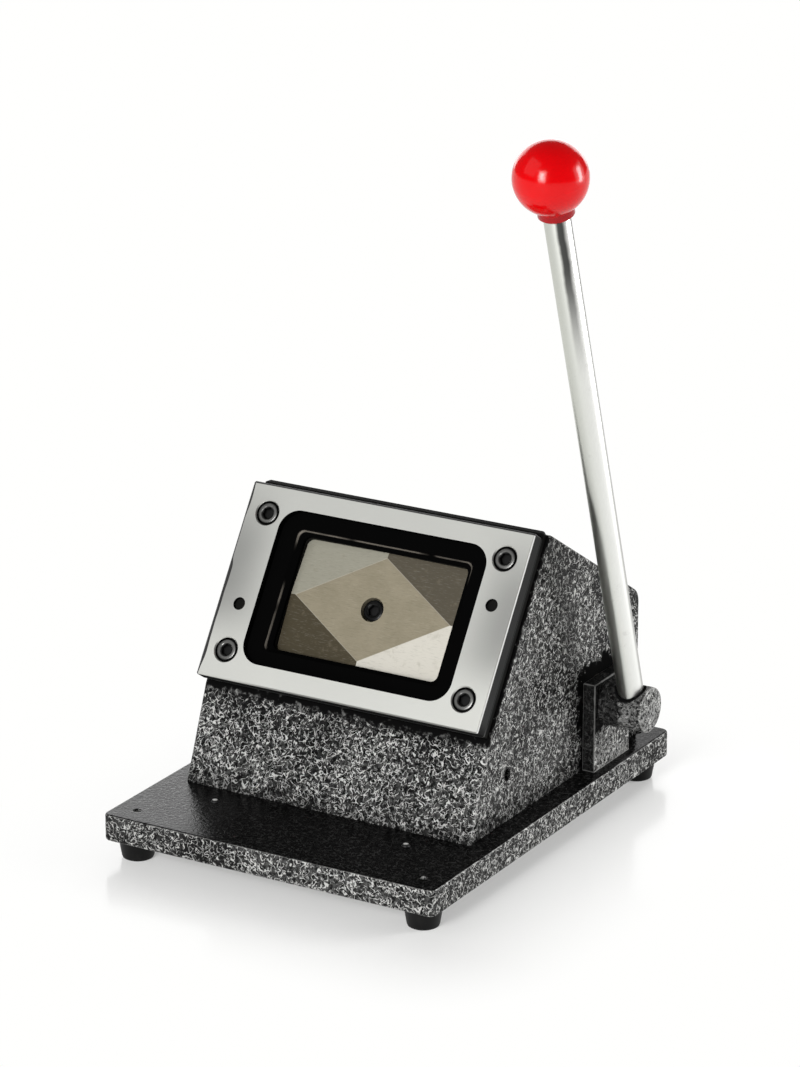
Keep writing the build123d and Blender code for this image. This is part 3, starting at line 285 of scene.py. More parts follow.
def spun(shape, profile, steps=64):
    """Spin pairs of radius and height about Z. A radius of nought closes the end."""
    corners = [shape.verts.new((radius, 0, height)) for radius, height in profile]
    lines = [shape.edges.new(pair) for pair in zip(corners, corners[1:])]
    bmesh.ops.spin(
        shape, geom=corners + lines, cent=(0, 0, 0), axis=(0, 0, 1), angle=math.tau,
        steps=steps, use_merge=True,
    )
    bmesh.ops.remove_doubles(shape, verts=shape.verts, dist=1e-6)
    return shape


def copied(shape, places):
    """Repeat a shape at each of some places."""
    mould = bpy.data.meshes.new("mould")
    shape.to_mesh(mould)
    shape.clear()
    for place in places:
        before = set(shape.verts)
        shape.from_mesh(mould)
        added = [vert for vert in shape.verts if vert not in before]
        bmesh.ops.transform(shape, matrix=place, verts=added)
    bpy.data.meshes.remove(mould)
    return shape


def settle(shape, name, finish, body, nodes, crease=38):
    """Make a shape an object that rides on a body and stands for some nodes."""
    bmesh.ops.recalc_face_normals(shape, faces=shape.faces)
    for face in shape.faces:
        face.smooth = True
    mesh = bpy.data.meshes.new(name)
    shape.to_mesh(mesh)
    shape.free()
    mesh.set_sharp_from_angle(angle=math.radians(crease))
    mesh.materials.append(finish)
    made = bpy.data.objects.new(name, mesh)
    bpy.context.scene.collection.objects.link(made)
    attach(made, body)
    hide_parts(*nodes)
    return made


def rubber():
    """Black rubber, faintly dusty, with a rougher skin in patches."""
    made, where = new_finish("moulded_rubber")
    dust = ease(noise(where, 0.006, 4.0, 0.6), 0.52, 0.78)
    coat(where, {
        "Base Color": tint(dust, (0.003, 0.003, 0.003), (0.011, 0.011, 0.010)),
        "Roughness": 0.50 + dust * 0.2, "Specular IOR Level": 0.15,
        "Normal": relief(noise(where, 0.0005), 0.00003),
    })
    return made


feet_low, feet_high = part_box("rubber_feet")
foot_height = feet_high.z
foot_places = [
    Matrix.Translation((x, y, 0))
    for x in (feet_low.x + FOOT_RADIUS, feet_high.x - FOOT_RADIUS)
    for y in (feet_low.y + FOOT_RADIUS, feet_high.y - FOOT_RADIUS)
]
foot = spun(bmesh.new(), [
    (FOOT_HOLE, foot_height), (FOOT_RADIUS, foot_height), (FOOT_RADIUS, foot_height - FLASH_HEIGHT),
    (FOOT_RADIUS - FLASH_STEP, foot_height - 2 * FLASH_HEIGHT), (TOE_RADIUS + TOE_FLARE, TOE_HEIGHT),
    (TOE_RADIUS, LIP_RISE), (TOE_RADIUS - LIP_WIDTH, 0), (POCKET_RADIUS + POCKET_LIP, 0),
    (POCKET_RADIUS + POCKET_LIP / 4, LIP_RISE), (POCKET_RADIUS, POCKET_LIP_HEIGHT),
    (POCKET_RADIUS, POCKET_HEIGHT), (FOOT_HOLE, POCKET_HEIGHT), (FOOT_HOLE, foot_height),
])
settle(copied(foot, foot_places), "moulded_feet", rubber(), "housing", ["rubber_feet"])


def zinc():
    """Bright zinc plate, clouded and a little scratched by the driver."""
    made, where = new_finish("zinc_plate")
    cloud = noise(where, 0.0014, 3.0, 0.6)
    coat(where, {
        "Base Color": tint(cloud, (0.52, 0.52, 0.50), (0.72, 0.72, 0.70)), "Metallic": 0.95,
        "Roughness": 0.22 + cloud * 0.25, "Normal": relief(noise(where, 0.0004), 0.00001),
    })
    return made


dress(zinc(), "foot_washers", "foot_screws")

# Card stops
# Two dome-headed steel pins driven into the front of the base. A card that drops out of the die
# slides down the front and stops against them.
PIN_RADIUS = 0.0020
PIN_HEIGHT = 0.0012
PIN_SHANK = PIN_RADIUS * 0.62
DOME_STEPS = 8

pins_low, pins_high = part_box("card_stop_pins")
pin_top = base_high.z + PIN_HEIGHT
dome = (PIN_RADIUS ** 2 + PIN_HEIGHT ** 2) / (2 * PIN_HEIGHT)
sweep = math.asin(PIN_RADIUS / dome)
cap = [
    (dome * math.sin(turn), pin_top - dome + dome * math.cos(turn))
    for turn in (sweep * step / DOME_STEPS for step in range(DOME_STEPS + 1))
]
shank = [(PIN_SHANK, base_high.z), (PIN_SHANK, pins_low.z), (0, pins_low.z)]
pin_places = [
    Matrix.Translation((x, (pins_low.y + pins_high.y) / 2, 0))
    for x in (pins_low.x + PIN_RADIUS, pins_high.x - PIN_RADIUS)
]


def distance(where, spot):
    """How far a place lies from a spot."""
    return where.node("VectorMath", {"operation": "DISTANCE"}, {0: where, 1: spot}, "Value")


def pin_zinc():
    """Zinc gone dark, rubbed bright on the top of each dome, which also paints a highlight there."""
    made, where = new_finish("rubbed_zinc_highlight")
    cloud = noise(where, 0.0014, 3.0, 0.6)
    tops = [place @ Vector((0, 0, pin_top)) for place in pin_places]
    near = reduce(Flow.least, (distance(where, top) for top in tops))
    # Painted highlight: the top of each dome is light zinc.
    rubbed = ease(near + (cloud - 0.5) * 0.0006, 0.0014, 0.0009)
    coat(where, {
        "Base Color": tint(rubbed, (0.02, 0.02, 0.02), (0.60, 0.60, 0.58)),
        "Metallic": 0.5 - rubbed * 0.35, "Roughness": 0.30 + cloud * 0.2,
        "Normal": relief(noise(where, 0.0004), 0.00001),
    })
    return made


pin = copied(spun(bmesh.new(), cap + shank, 32), pin_places)
settle(pin, "dome_pins", pin_zinc(), "housing", ["card_stop_pins"])

# Body
# A hollow iron casting with a sloping face, painted like the base. The face under the die and the
# edge above it are machined and left matt black, with a ragged painted shadow of the die plate along
# them. The paint is rubbed thin and lightened along the corners, which also paints highlights there.
# A painted shadow of the hub and rod lies round the right bearing block, the threaded side holes are
# painted black as shade, and the paint darkens towards the foot of the body. A bearing block is
# bolted to each side, and a flat cover closes the rear.
APRON_LEAN = math.radians(21.5)
TOP_FALL = math.radians(31.7)
DIE_THICKNESS = 0.0075
BODY_FACE = 0.0117
CROWN_RISE = 0.0499
SIDE_HOLE_RADIUS = 0.0029
SIDE_HOLE_HEIGHT = 0.0444
# How far below the pivot the painted shadow of the hub begins on the blocks.
HUB_SHADOW_DROP = 0.0125
# A lighter haze on the bearing blocks, a painted sheen for the light on their faces.
BLOCK_HAZE_SHEEN = (0.34, 0.34, 0.33)

joints = {joint["name"]: joint for joint in frame["joints"]}
ram_course = Vector(joints["ram_slide"]["axis"])
lever_pivot = Vector(joints["lever_hinge"]["pos_m"])
slope_up = ram_course.cross(RIGHT)
die_low, die_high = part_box("die_plate")
die_centre = (die_low + die_high) / 2 + ram_course * DIE_THICKNESS / 2
body_low, body_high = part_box("body_housing")


def body_depths(where):
    """How deep a place lies under each side of the body."""
    apron = Vector((0, math.cos(APRON_LEAN), -math.sin(APRON_LEAN)))
    fall = Vector((0, -math.sin(TOP_FALL), -math.cos(TOP_FALL)))
    crown = die_centre - ram_course * BODY_FACE + slope_up * CROWN_RISE
    return [
        body_high.x - abs(along(where, RIGHT, MIDDLE)),
        along(where, apron, body_low),
        along(where, -ram_course, die_centre) - BODY_FACE,
        along(where, fall, crown),
        along(where, -BACK, body_high),
    ]


def machined_and_die_shadow(where):
    """The milled face under the die and the edge above it, which have no paint, with a ragged painted
    shadow of the die plate round them.
    """
    # Machined face, widened by a ragged painted shadow of the die plate.
    depth = along(where, -ram_course, die_centre) + stray(where, 0.003, 0.0022, 2.0)
    return ease(depth, BODY_FACE + 0.0011, BODY_FACE + 0.0002)


def side_hole_shade(where):
    """Painted shade: the threaded hole low in each side, coloured black inside."""
    flat = where.node("VectorMath", {"operation": "MULTIPLY"}, {0: where, 1: (0, 1, 1)}, "Vector")
    apart = distance(flat, Vector((0, die_centre.y, SIDE_HOLE_HEIGHT)))
    return ease(apart, SIDE_HOLE_RADIUS + 0.0002, SIDE_HOLE_RADIUS - 0.0001)


def lever_shadow_and_darker_foot(where):
    """A painted shadow of the hub and rod round the right bearing block, and darker paint towards the
    foot of the body.
    """
    low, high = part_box("bearing_block_right")
    ragged = stray(where, 0.006, 0.028, 3.0, 0.6)
    # Painted shadow of the hub and rod on the side round the block.
    above = ease(along(where, UP, high) + ragged, 0.009, 0.006)
    ahead = ease(along(where, BACK, low) + ragged, -0.005, -0.002)
    behind = ease(along(where, BACK, high) + ragged, 0.004, 0.001)
    shade_and_grease = above * ahead * behind * ease(along(where, RIGHT, body_high), -0.002, -0.001)
    # Darker towards the foot of the body.
    darker_foot = ease(along(where, UP, body_low) + ragged, 0.010, 0.0) * 0.6
    return shade_and_grease.most(darker_foot)


def body_bare_and_shaded(where):
    """Every place on the body without clean paint: the machined face, and the painted shade and shadows.
    """
    return machined_and_die_shadow(where).most(side_hole_shade(where)).most(lever_shadow_and_darker_foot(where))


def block_paint(block):
    """Paint of a bearing block: black on the front face and above the hub as painted shade, scraped on
    its edges.
    """
    def block_shade(where):
        # Painted shade: the front face of the block is made black.
        front = ease(along(where, BACK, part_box(block)[0]), 0.0006, 0.0002) * 0.92
        height = along(where, UP, lever_pivot) + stray(where, 0.005, 0.012)
        # Painted shadow of the hub and rod: the block is black from a little below the pivot upward.
        shade_and_grease = ease(height, -HUB_SHADOW_DROP - 0.001, -HUB_SHADOW_DROP + 0.001) * 0.95
        return front.most(shade_and_grease)

    return hammer_paint(
        block + "_paint", lambda where: box_depths(where, block), rubbed=0.0007, matt=block_shade,
        haze_shade=BLOCK_HAZE_SHEEN, scraped=0.5,
    )


dress(hammer_paint("body_paint", body_depths, rubbed=0.0005, matt=body_bare_and_shaded), "body_housing")
for block in ("bearing_block_right", "bearing_block_left"):
    dress(block_paint(block), block)
dress(hammer_paint(
    "cover_paint", lambda where: box_depths(where, "rear_cover"), rubbed=0.0004,
), "rear_cover")

# Fasteners of the body and the drive
# Socket and pan screws of hardened steel with a black oxide skin, rubbed brown-grey where a key has
# turned them. They go into threads in the body and in the pieces of the drive.


def black_oxide():
    """Black oxide, with the steel just showing on rubbed spots."""
    made, where = new_finish("black_oxide")
    worn = ease(noise(where, 0.0016, 4.0, 0.6), 0.50, 0.75)
    coat(where, {
        "Base Color": tint(worn, (0.018, 0.018, 0.019), (0.10, 0.098, 0.094)), "Metallic": 0.55,
        "Roughness": 0.34 + worn * 0.15, "Normal": relief(noise(where, 0.0006), 0.00001),
    })
    return made


dress(
    black_oxide(), "body_bolts", "rear_cover_screws", "block_screws", "gib_screws", "spring_bolts",
    "crosshead_screws", "pad_screws", "cam_set_screw", "collar_set_screw",
)

# Die plate
# Ground tool steel, wiped with oil. The face is darker above its lower part, most near its ends, and
# its sides are toned dark as painted shade, lighter at the foot as a painted sheen. The walls of the
# deep window are painted black as shade, with a thin painted highlight on the ledge where the relief
# starts, and a fine chamfer runs round the plate, painted bright at the right and dark at the left and
# the top. Spacers behind it, toned nearly black as painted shade, leave the slot for the card, in
# front of a blackened guide plate.
WINDOW_HALF_X = 0.0548
WINDOW_HALF_UP = 0.0374
WINDOW_EDGE = 0.0002
LEDGE_DEPTH = 0.0041
LEDGE_HALF = 0.0004
HALF_DIE = 0.0736
DIE_RISE = 0.04615
DIE_EDGE = 0.0006
DIE_TONE = (0.70, 0.705, 0.665)


def stretch(where, scale):
    """Squeeze a pattern along the axes."""
    return where.node("Mapping", {}, {"Vector": where, "Scale": scale})


def layered(colour, *layers):
    """Lay colours over a finish one after another, each through its own mask."""
    for mask, tone in layers:
        colour = tint(mask, colour, tone)
    return colour


def ground_steel(name, tone, streak=(0.06, 1.0, 1.0)):
    """Steel with fine parallel grinding marks and faint clouds of oil."""
    made, where = new_finish(name)
    marks = noise(stretch(where, streak), 0.00035, 3.0, 0.6)
    cloud = noise(where, 0.03, 3.0)
    spots = ease(noise(where, 0.004, 4.0, 0.65), 0.68, 0.80)
    colour = tint(marks * 0.4 + cloud * 0.6, tuple(shade * 0.90 for shade in tone), tone)
    return made, where, tint(spots * 0.2, colour, (0.30, 0.28, 0.25)), marks, cloud


def window_marks(where, depth, offset, rise):
    """All inside the window, its walls painted black as shade, and a painted highlight on the ledge."""
    inside = ease(abs(offset), WINDOW_HALF_X, WINDOW_HALF_X - WINDOW_EDGE) \
        * ease(abs(rise), WINDOW_HALF_UP, WINDOW_HALF_UP - WINDOW_EDGE)
    # Painted shade: the walls inside the window are coloured black.
    walls = inside * ease(depth, 0.00005, 0.0002)
    ledge = inside * ease(abs(depth - LEDGE_DEPTH - LEDGE_HALF), LEDGE_HALF, LEDGE_HALF * 0.5)
    # The painted highlight on the ledge lies only along the top and the left.
    lit = ease(rise, 0.018, 0.026) + ease(offset, -0.044, -0.046) * ease(rise, 0.006, -0.004)
    return inside, walls, ledge * lit.least(1.0) * ease(noise(where, 0.016), 0.36, 0.56)


def chamfer_marks(where, depth, offset, rise):
    """The chamfer round the face, with a painted highlight at the right and painted shade at the left
    and the top.
    """
    front = ease(depth, DIE_EDGE, DIE_EDGE * 0.8)
    right = ease(offset, HALF_DIE - DIE_EDGE, HALF_DIE - DIE_EDGE * 0.7)
    width = DIE_EDGE * (1.5 + 1.9 * ease(noise(where, 0.025, 1.0), 0.42, 0.70))
    left = ease(offset + HALF_DIE - width, 0.0001, -0.0001)
    top = ease(rise, DIE_RISE - DIE_EDGE, DIE_RISE - DIE_EDGE * 0.7)
    return right * front, left.most(top) * front


def die_finish():
    """Ground face with painted shade and highlights: darker above its lower part, dark sides, black
    window walls.
    """
    made, where, colour, marks, cloud = ground_steel("die_ground_steel", DIE_TONE)
    depth = along(where, -ram_course, die_centre)
    offset = along(where, RIGHT, die_centre)
    rise = along(where, slope_up, die_centre)
    inside, walls, ledge = window_marks(where, depth, offset, rise)
    edge_highlight, edge_shade = chamfer_marks(where, depth, offset, rise)
    # Painted shade: the sides are toned dark, darkest at the rear edge, and lighter at the foot as a
    # painted sheen.
    side = ease(depth, 0.0004, 0.0006) * (1 - inside)
    rear = ease(depth, DIE_THICKNESS - DIE_EDGE * 1.6, DIE_THICKNESS - DIE_EDGE * 1.2) * side
    foot = ease(rise, -0.040, -0.047) * side
    cheeks = ease(abs(offset), 0.046, 0.072) * ease(abs(rise - 0.006), 0.050, 0.004)
    # Painted shade: the face is darker above its lower part, more so near its left and right ends.
    face_shade = ease(rise, -0.040, -0.010) * (0.15 + cheeks * 0.44)
    metal = 0.95 - walls * 0.93 + ledge * 0.5
    coat(where, {
        "Base Color": layered(
            colour,
            (face_shade, (0.10, 0.10, 0.10)),
            (side, (0.018, 0.018, 0.018)),
            (rear, (0.006, 0.006, 0.006)),
            (foot * ease(depth, 0.0064, 0.0068), (0.16, 0.16, 0.155)),
            (edge_highlight, (0.80, 0.80, 0.78)),
            (edge_shade, (0.05, 0.05, 0.05)),
            (walls, (0.002, 0.002, 0.002)),
            (ledge, (0.15, 0.135, 0.115)),
        ),
        "Metallic": metal - foot.most(rear).most(edge_highlight * 0.7) * 0.95,
        "Roughness": 0.27 + marks * 0.05 + cloud * 0.05 + side * 0.15 + walls * 0.3,
        "Specular IOR Level": 0.0, "Normal": relief(marks, 0.000002),
    })
    return made


dress(die_finish(), "die_plate")


def dark_steel():
    """Blackened steel, smoky and slightly brown."""
    made, where = new_finish("dark_steel")
    smoke = noise(where, 0.009, 4.0, 0.6)
    coat(where, {
        "Base Color": tint(smoke, (0.002, 0.002, 0.002), (0.009, 0.009, 0.008)), "Metallic": 0.0,
        "Roughness": 0.45 + smoke * 0.2, "Specular IOR Level": 0.05,
        "Normal": relief(noise(where, 0.0007), 0.00001),
    })
    return made


# On the dowels, deep in their holes, this near-black steel is painted shade.
dress(dark_steel(), "guide_plate", "die_dowels")


def plain_ground(name, tone, nodes, rough=0.3, streak=(0.06, 1.0, 1.0)):
    """Ground steel for pieces that need nothing more."""
    made, where, colour, marks, cloud = ground_steel(name, tone, streak)
    coat(where, {
        "Base Color": colour, "Metallic": 0.95, "Roughness": rough + marks * 0.1 + cloud * 0.1,
        "Normal": relief(marks, 0.000004),
    })
    dress(made, *nodes)
    return made


# The spacers' steel is toned nearly black as painted shade in the gap behind the die plate.
plain_ground("shaded_spacer_steel", (0.021, 0.021, 0.021), ["slot_spacers"], 0.42)

# Screws of the die and the punch
# Low-head socket screws sunk in counterbores, in black oxide. A grey ring on the turned rim of each head
# is a painted highlight, and the socket and all below the head's top are painted black as shade; the
# punch's screw has no ring and is kept dark as painted shade.
HEAD_RADIUS = 0.0050
HEAD_HEIGHT = 0.0040
HEAD_RIM = 0.0007
SOCKET_WIDTH = 0.0050
SOCKET_DEPTH = 0.0024
SOCKET_MOUTH = 0.0004
SHANK_RADIUS = 0.0030
POINT_CHAMFER = 0.0005
DIE_SCREW_LENGTH = 0.020
PUNCH_SCREW_LENGTH = 0.030
DIE_SCREW_DEPTH = 0.0003
PUNCH_SCREW_DEPTH = 0.0099
DIE_SCREW_OFFSET = 0.0621
DIE_SCREW_RISE = 0.0329
# Tone of the painted highlight ring on the die screws, and the near-black ring of the punch screw in
# shade.
DIE_RING_HIGHLIGHT = (0.14, 0.14, 0.135)
PUNCH_RING_IN_SHADE = (0.010, 0.010, 0.010)


def socket_screw(shape, length):
    """A low-head socket screw, with the top of its head at the origin and its point down."""
    point = -HEAD_HEIGHT - length
    spun(shape, [
        (0, point), (SHANK_RADIUS - POINT_CHAMFER, point), (SHANK_RADIUS, point + POINT_CHAMFER),
        (SHANK_RADIUS, -HEAD_HEIGHT), (HEAD_RADIUS, -HEAD_HEIGHT), (HEAD_RADIUS, -HEAD_RIM),
        (HEAD_RADIUS - HEAD_RIM * 0.3, -HEAD_RIM * 0.3), (HEAD_RADIUS - HEAD_RIM, 0),
        (SOCKET_WIDTH * 0.68, 0),
    ], 48)
    mouth = [edge for edge in shape.edges if edge.is_boundary]
    corner = SOCKET_WIDTH / 2 / math.cos(math.pi / 6)
    ring = bmesh.ops.create_circle(shape, segments=6, radius=corner)["verts"]
    bmesh.ops.translate(shape, verts=ring, vec=(0, 0, -SOCKET_MOUTH))
    sides = list({edge for vert in ring for edge in vert.link_edges})
    bmesh.ops.bridge_loops(shape, edges=mouth + sides)
    walls = bmesh.ops.extrude_edge_only(shape, edges=sides)["geom"]
    floor_ring = [item for item in walls if isinstance(item, bmesh.types.BMVert)]
    bmesh.ops.translate(shape, verts=floor_ring, vec=(0, 0, SOCKET_MOUTH - SOCKET_DEPTH))
    bmesh.ops.holes_fill(shape, edges=[edge for edge in shape.edges if edge.is_boundary], sides=0)
    return shape


def slope_place(offset, rise, depth, turn=0.0):
    """Where a piece on the slope goes: its Z along the ram's course, turned about it."""
    spot = die_centre + RIGHT * offset + slope_up * rise - ram_course * depth
    axes = Matrix((RIGHT, slope_up, ram_course)).transposed().to_4x4()
    return Matrix.Translation(spot) @ axes @ Matrix.Rotation(turn, 4, "Z")


def screw_finish(name, places, ring_highlight_tone):
    """Black oxide with a painted highlight ring round each head, and painted shade in the socket and
    below the head.
    """
    made, where = new_finish(name)
    worn = ease(noise(where, 0.0016, 4.0, 0.6), 0.50, 0.78)
    near = reduce(Flow.least, [distance(where, place.translation) for place in places])
    sunk = along(where, -ram_course, places[0].translation)
    # Painted highlight: a grey ring on the rim of each head.
    bright = ease(abs(near - HEAD_RADIUS * 0.77), 0.0009, 0.0006) * (1.1 - worn * 0.6).least(1.0)
    # Painted shade: the socket, and everything sunk below the head's top, is black.
    socket = ease(near, SOCKET_WIDTH * 0.64, SOCKET_WIDTH * 0.56).most(ease(sunk, 0.0008, 0.0011))
    skin = tint(worn, (0.006, 0.006, 0.006), tuple(shade * 0.32 for shade in ring_highlight_tone))
    coat(where, {
        "Base Color": layered(skin, (bright, ring_highlight_tone), (socket, (0.002, 0.002, 0.002))),
        "Metallic": 0.5 + bright * 0.4 - socket * 0.45, "Roughness": 0.30 + worn * 0.1 + socket * 0.3,
        "Specular IOR Level": 0.2, "Normal": relief(noise(where, 0.0007), 0.00001),
    })
    return made


die_screw_places = [
    slope_place(side * DIE_SCREW_OFFSET, end * DIE_SCREW_RISE, DIE_SCREW_DEPTH, turn)
    for side, end, turn in ((-1, -1, 0.3), (-1, 1, 0.9), (1, -1, 0.1), (1, 1, 0.6))
]
settle(
    copied(socket_screw(bmesh.new(), DIE_SCREW_LENGTH), die_screw_places), "die_socket_screws",
    screw_finish("die_screw_oxide", die_screw_places, DIE_RING_HIGHLIGHT), "housing",
    ["die_screws"], 25,
)
punch_screw_places = [slope_place(0, 0, PUNCH_SCREW_DEPTH, 0.45)]
settle(
    copied(socket_screw(bmesh.new(), PUNCH_SCREW_LENGTH), punch_screw_places), "punch_socket_screw",
    screw_finish("punch_screw_oxide", punch_screw_places, PUNCH_RING_IN_SHADE), "ram_unit",
    ["punch_screw"], 25,
)

# Punch
# Tool steel, ground to a flat rhombus with four falling facets, so that it cuts from the middle
# of each side outward. The facets are ground in two directions; two opposite facets are painted
# lighter and two darker as painted light and shade, all lighter on the right.
RHOMBUS_X = 0.0405
RHOMBUS_UP = 0.0245


def punch_finish():
    """Warm grey steel, with painted light and shade: lighter on two of the facets, darker on the other
    two.
    """
    made, where = new_finish("punch_ground_steel")
    offset = along(where, RIGHT, die_centre)
    rise = along(where, slope_up, die_centre)
    fallen = abs(offset) * (1 / RHOMBUS_X) + abs(rise) * (1 / RHOMBUS_UP)
    ridge = ease(abs(fallen - 1.0), 0.010, 0.003)
    marks = noise(stretch(where, (0.10, 1.0, 1.0)), 0.00035, 3.0, 0.6)
    cloud = noise(where, 0.010, 4.0, 0.6)
    stain = ease(noise(where, 0.0045, 5.0, 0.65), 0.56, 0.74)
    right = offset > 0.0
    # Painted light and shade: lit and shaded tones for the facets, lighter on the right.
    light = tint(right, (0.30, 0.290, 0.235), (0.52, 0.50, 0.445))
    dark = tint(right, (0.055, 0.045, 0.026), (0.084, 0.073, 0.052))
    flat = tint(cloud, (0.200, 0.176, 0.120), (0.295, 0.262, 0.190))
    facets = tint(offset * rise > 0.0, light, dark)
    coat(where, {
        "Base Color": layered(
            flat,
            (ease(fallen, 0.999, 1.001), facets),
            (stain * 0.30, (0.20, 0.17, 0.12)),
            (ease(marks, 0.54, 0.72) * 0.09, (0.66, 0.64, 0.58)),
            (ease(marks, 0.46, 0.30) * 0.20, (0.05, 0.045, 0.035)),
            (ridge * 0.30, (0.55, 0.52, 0.46)),
        ),
        "Metallic": 0.35, "Roughness": 0.48 + marks * 0.10 + cloud * 0.1,
        "Specular IOR Level": 0.2, "Normal": relief(marks, 0.000005),
    })
    return made


dress(punch_finish(), "punch")

# Ram and its slides
# A ground steel block that runs between four bronze strips in the body, with a crossbar and a
# hard pad at its rear. The bushes of the shaft are of the same bronze.
STEEL_TONE = (0.46, 0.46, 0.45)
plain_ground("ram_steel", STEEL_TONE, ["ram", "crosshead", "follower_pad", "punch_dowels"])


def bronze():
    """Machined bearing bronze, browned a little by oil, and black outside the body: greasy, and painted
    shade under the oil holes.
    """
    made, where = new_finish("bearing_bronze")
    stain = noise(where, 0.006, 4.0, 0.6)
    # Black outside the body, partly greasy and partly painted shade inside the bearing blocks.
    shade_and_grease = ease(abs(along(where, RIGHT, MIDDLE)), body_high.x - 0.001, body_high.x)
    clean = tint(stain, (0.55, 0.33, 0.13), (0.72, 0.50, 0.26))
    coat(where, {
        "Base Color": tint(shade_and_grease, clean, (0.012, 0.010, 0.007)), "Metallic": 0.95 - shade_and_grease * 0.9,
        "Roughness": 0.28 + stain * 0.2, "Normal": relief(noise(where, 0.0005), 0.000006),
    })
    return made


dress(bronze(), "side_gibs", "upper_gib", "lower_gib", "bush_right", "bush_left")

# Return springs
# Round spring wire wound on the shoulder bolts, with a closed turn at each end, oiled and dark.
# In the cutter they shorten as the crosshead moves towards the bottoms of their pockets; here each keeps
# its full length.
SPRING_OFFSET = 0.050
SPRING_SEAT = 0.0420
SPRING_END = 0.07434
SPRING_RADIUS = 0.0060
WIRE_RADIUS = 0.0010
WIRE_SIDES = 12
CLOSED_PITCH = 0.00245
LIVE_TURNS = 6
TURN_STEPS = 32


def coil(shape):
    """Round wire wound about Z: one closed turn, the live turns, and one closed turn."""
    length = SPRING_END - SPRING_SEAT
    live_pitch = (length - 2 * WIRE_RADIUS - 2 * CLOSED_PITCH) / LIVE_TURNS
    start = Matrix.Translation((SPRING_RADIUS, 0, WIRE_RADIUS)) @ Matrix.Rotation(math.pi / 2, 4, "X")
    ring = bmesh.ops.create_circle(shape, segments=WIRE_SIDES, radius=WIRE_RADIUS, matrix=start)["verts"]
    moved = ring + list({edge for vert in ring for edge in vert.link_edges})
    for turns, pitch in ((1, CLOSED_PITCH), (LIVE_TURNS, live_pitch), (1, CLOSED_PITCH)):
        moved = bmesh.ops.spin(
            shape, geom=moved, cent=(0, 0, 0), axis=(0, 0, 1), angle=math.tau * turns,
            dvec=(0, 0, pitch / TURN_STEPS), steps=TURN_STEPS * turns,
        )["geom_last"]
    bmesh.ops.holes_fill(shape, edges=[edge for edge in shape.edges if edge.is_boundary], sides=0)
    return shape


spring_steel = plain_ground("spring_wire", (0.22, 0.22, 0.23), [], 0.25)
for side, reach in (("right", SPRING_OFFSET), ("left", -SPRING_OFFSET)):
    spring = copied(coil(bmesh.new()), [slope_place(reach, 0, SPRING_END)])
    spring = settle(
        spring, "wound_spring_" + side, spring_steel, "housing", ["return_spring_" + side],
    )
    seat = slope_place(reach, 0, SPRING_SEAT).translation
    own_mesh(spring)

# Shaft and eccentric
# A turned steel shaft runs across the body and carries a keyed eccentric. A hard ring on the
# eccentric, held by a clip, rolls on the ram's pad, and a collar ends the shaft at the left.
plain_ground(
    "turned_steel", STEEL_TONE,
    ["main_shaft", "eccentric_cam", "cam_key", "cam_ring", "cam_retaining_ring", "shaft_collar"],
    0.26, (0.05, 1.0, 1.0),
)

# Lever
# A round steel hub, painted like the body, is fixed on the end of the shaft; its haze is lighter as a
# painted sheen, with painted shade round the rod's seat, by the block and on its round side. A bright
# drawn rod with painted reflections is seated in it, and a ball of red phenolic with a short neck,
# painted darker as shade, is screwed on the rod's end.
ROD_RADIUS = 0.0060
ROD_SEAT = 0.0082
ROD_MOUTH = 0.0073
ROD_CHAMFER = 0.0006
ROD_TOP_INSET = 0.0005
ROD_TOP_DROP = 0.0008
# The side towards which the rod is painted lighter, a painted reflection.
LIT_SIDE = Vector((0.871, 0.469, 0.148))
# A lighter haze on the hub, a painted sheen for the light on its end.
HUB_HAZE_SHEEN = (0.46, 0.46, 0.45)
KNOB_RADIUS = 0.0167
KNOB_NECK_RADIUS = 0.00815
KNOB_NECK_REACH = 0.0183
KNOB_NECK_CHAMFER = 0.0006
KNOB_SEAM = 0.00008
SEAM_SPAN = 0.018
KNOB_RINGS = 72

hub_low, hub_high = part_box("lever_hub")
hub_inner = hub_low.x - lever_pivot.x
knob_low, knob_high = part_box("ball_knob")
knob_half = (knob_high.x - knob_low.x) / 2
knob_centre = Vector(((knob_low.x + knob_high.x) / 2, knob_low.y + knob_half, knob_high.z - knob_half))
rod_foot = Vector((knob_centre.x, lever_pivot.y, lever_pivot.z))
rod_course = (knob_centre - rod_foot).normalized()
rod_reach = (knob_centre - rod_foot).length
neck_start = rod_reach - KNOB_NECK_REACH
lean = Matrix.Translation(rod_foot) @ rod_course.to_track_quat("Z", "X").to_matrix().to_4x4()


def off_axis(where, start, course):
    """How far a place lies from an axis."""
    flat = where.node("VectorMath", {"operation": "SUBTRACT"}, {0: where, 1: start}, "Vector")
    crossed = flat.node("VectorMath", {"operation": "CROSS_PRODUCT"}, {0: flat, 1: course}, "Vector")
    return crossed.node("VectorMath", {"operation": "LENGTH"}, {0: crossed}, "Value")


def hub_depths(where):
    """How deep a place lies under the end and the round side of the hub."""
    round_side = (hub_high.z - hub_low.z) / 2 - off_axis(where, lever_pivot, RIGHT)
    return [hub_high.x - along(where, RIGHT, MIDDLE), round_side]


def hub_shade(where):
    """Painted shade in the seat round the rod, on the inner end by the block, and on the round side,
    darker than the end.
    """
    seat = ease(off_axis(where, rod_foot, rod_course), ROD_MOUTH + 0.0004, ROD_MOUTH)
    upper = ease(along(where, rod_course, rod_foot), 0.0, 0.002)
    ragged = along(where, RIGHT, lever_pivot) + stray(where, 0.004, 0.010)
    inner = ease(ragged, hub_inner + 0.015, hub_inner + 0.008) * 0.92
    turned = ease(along(where, RIGHT, hub_high), -0.0005, -0.0012) * 0.5
    return (seat * upper).most(inner).most(turned)


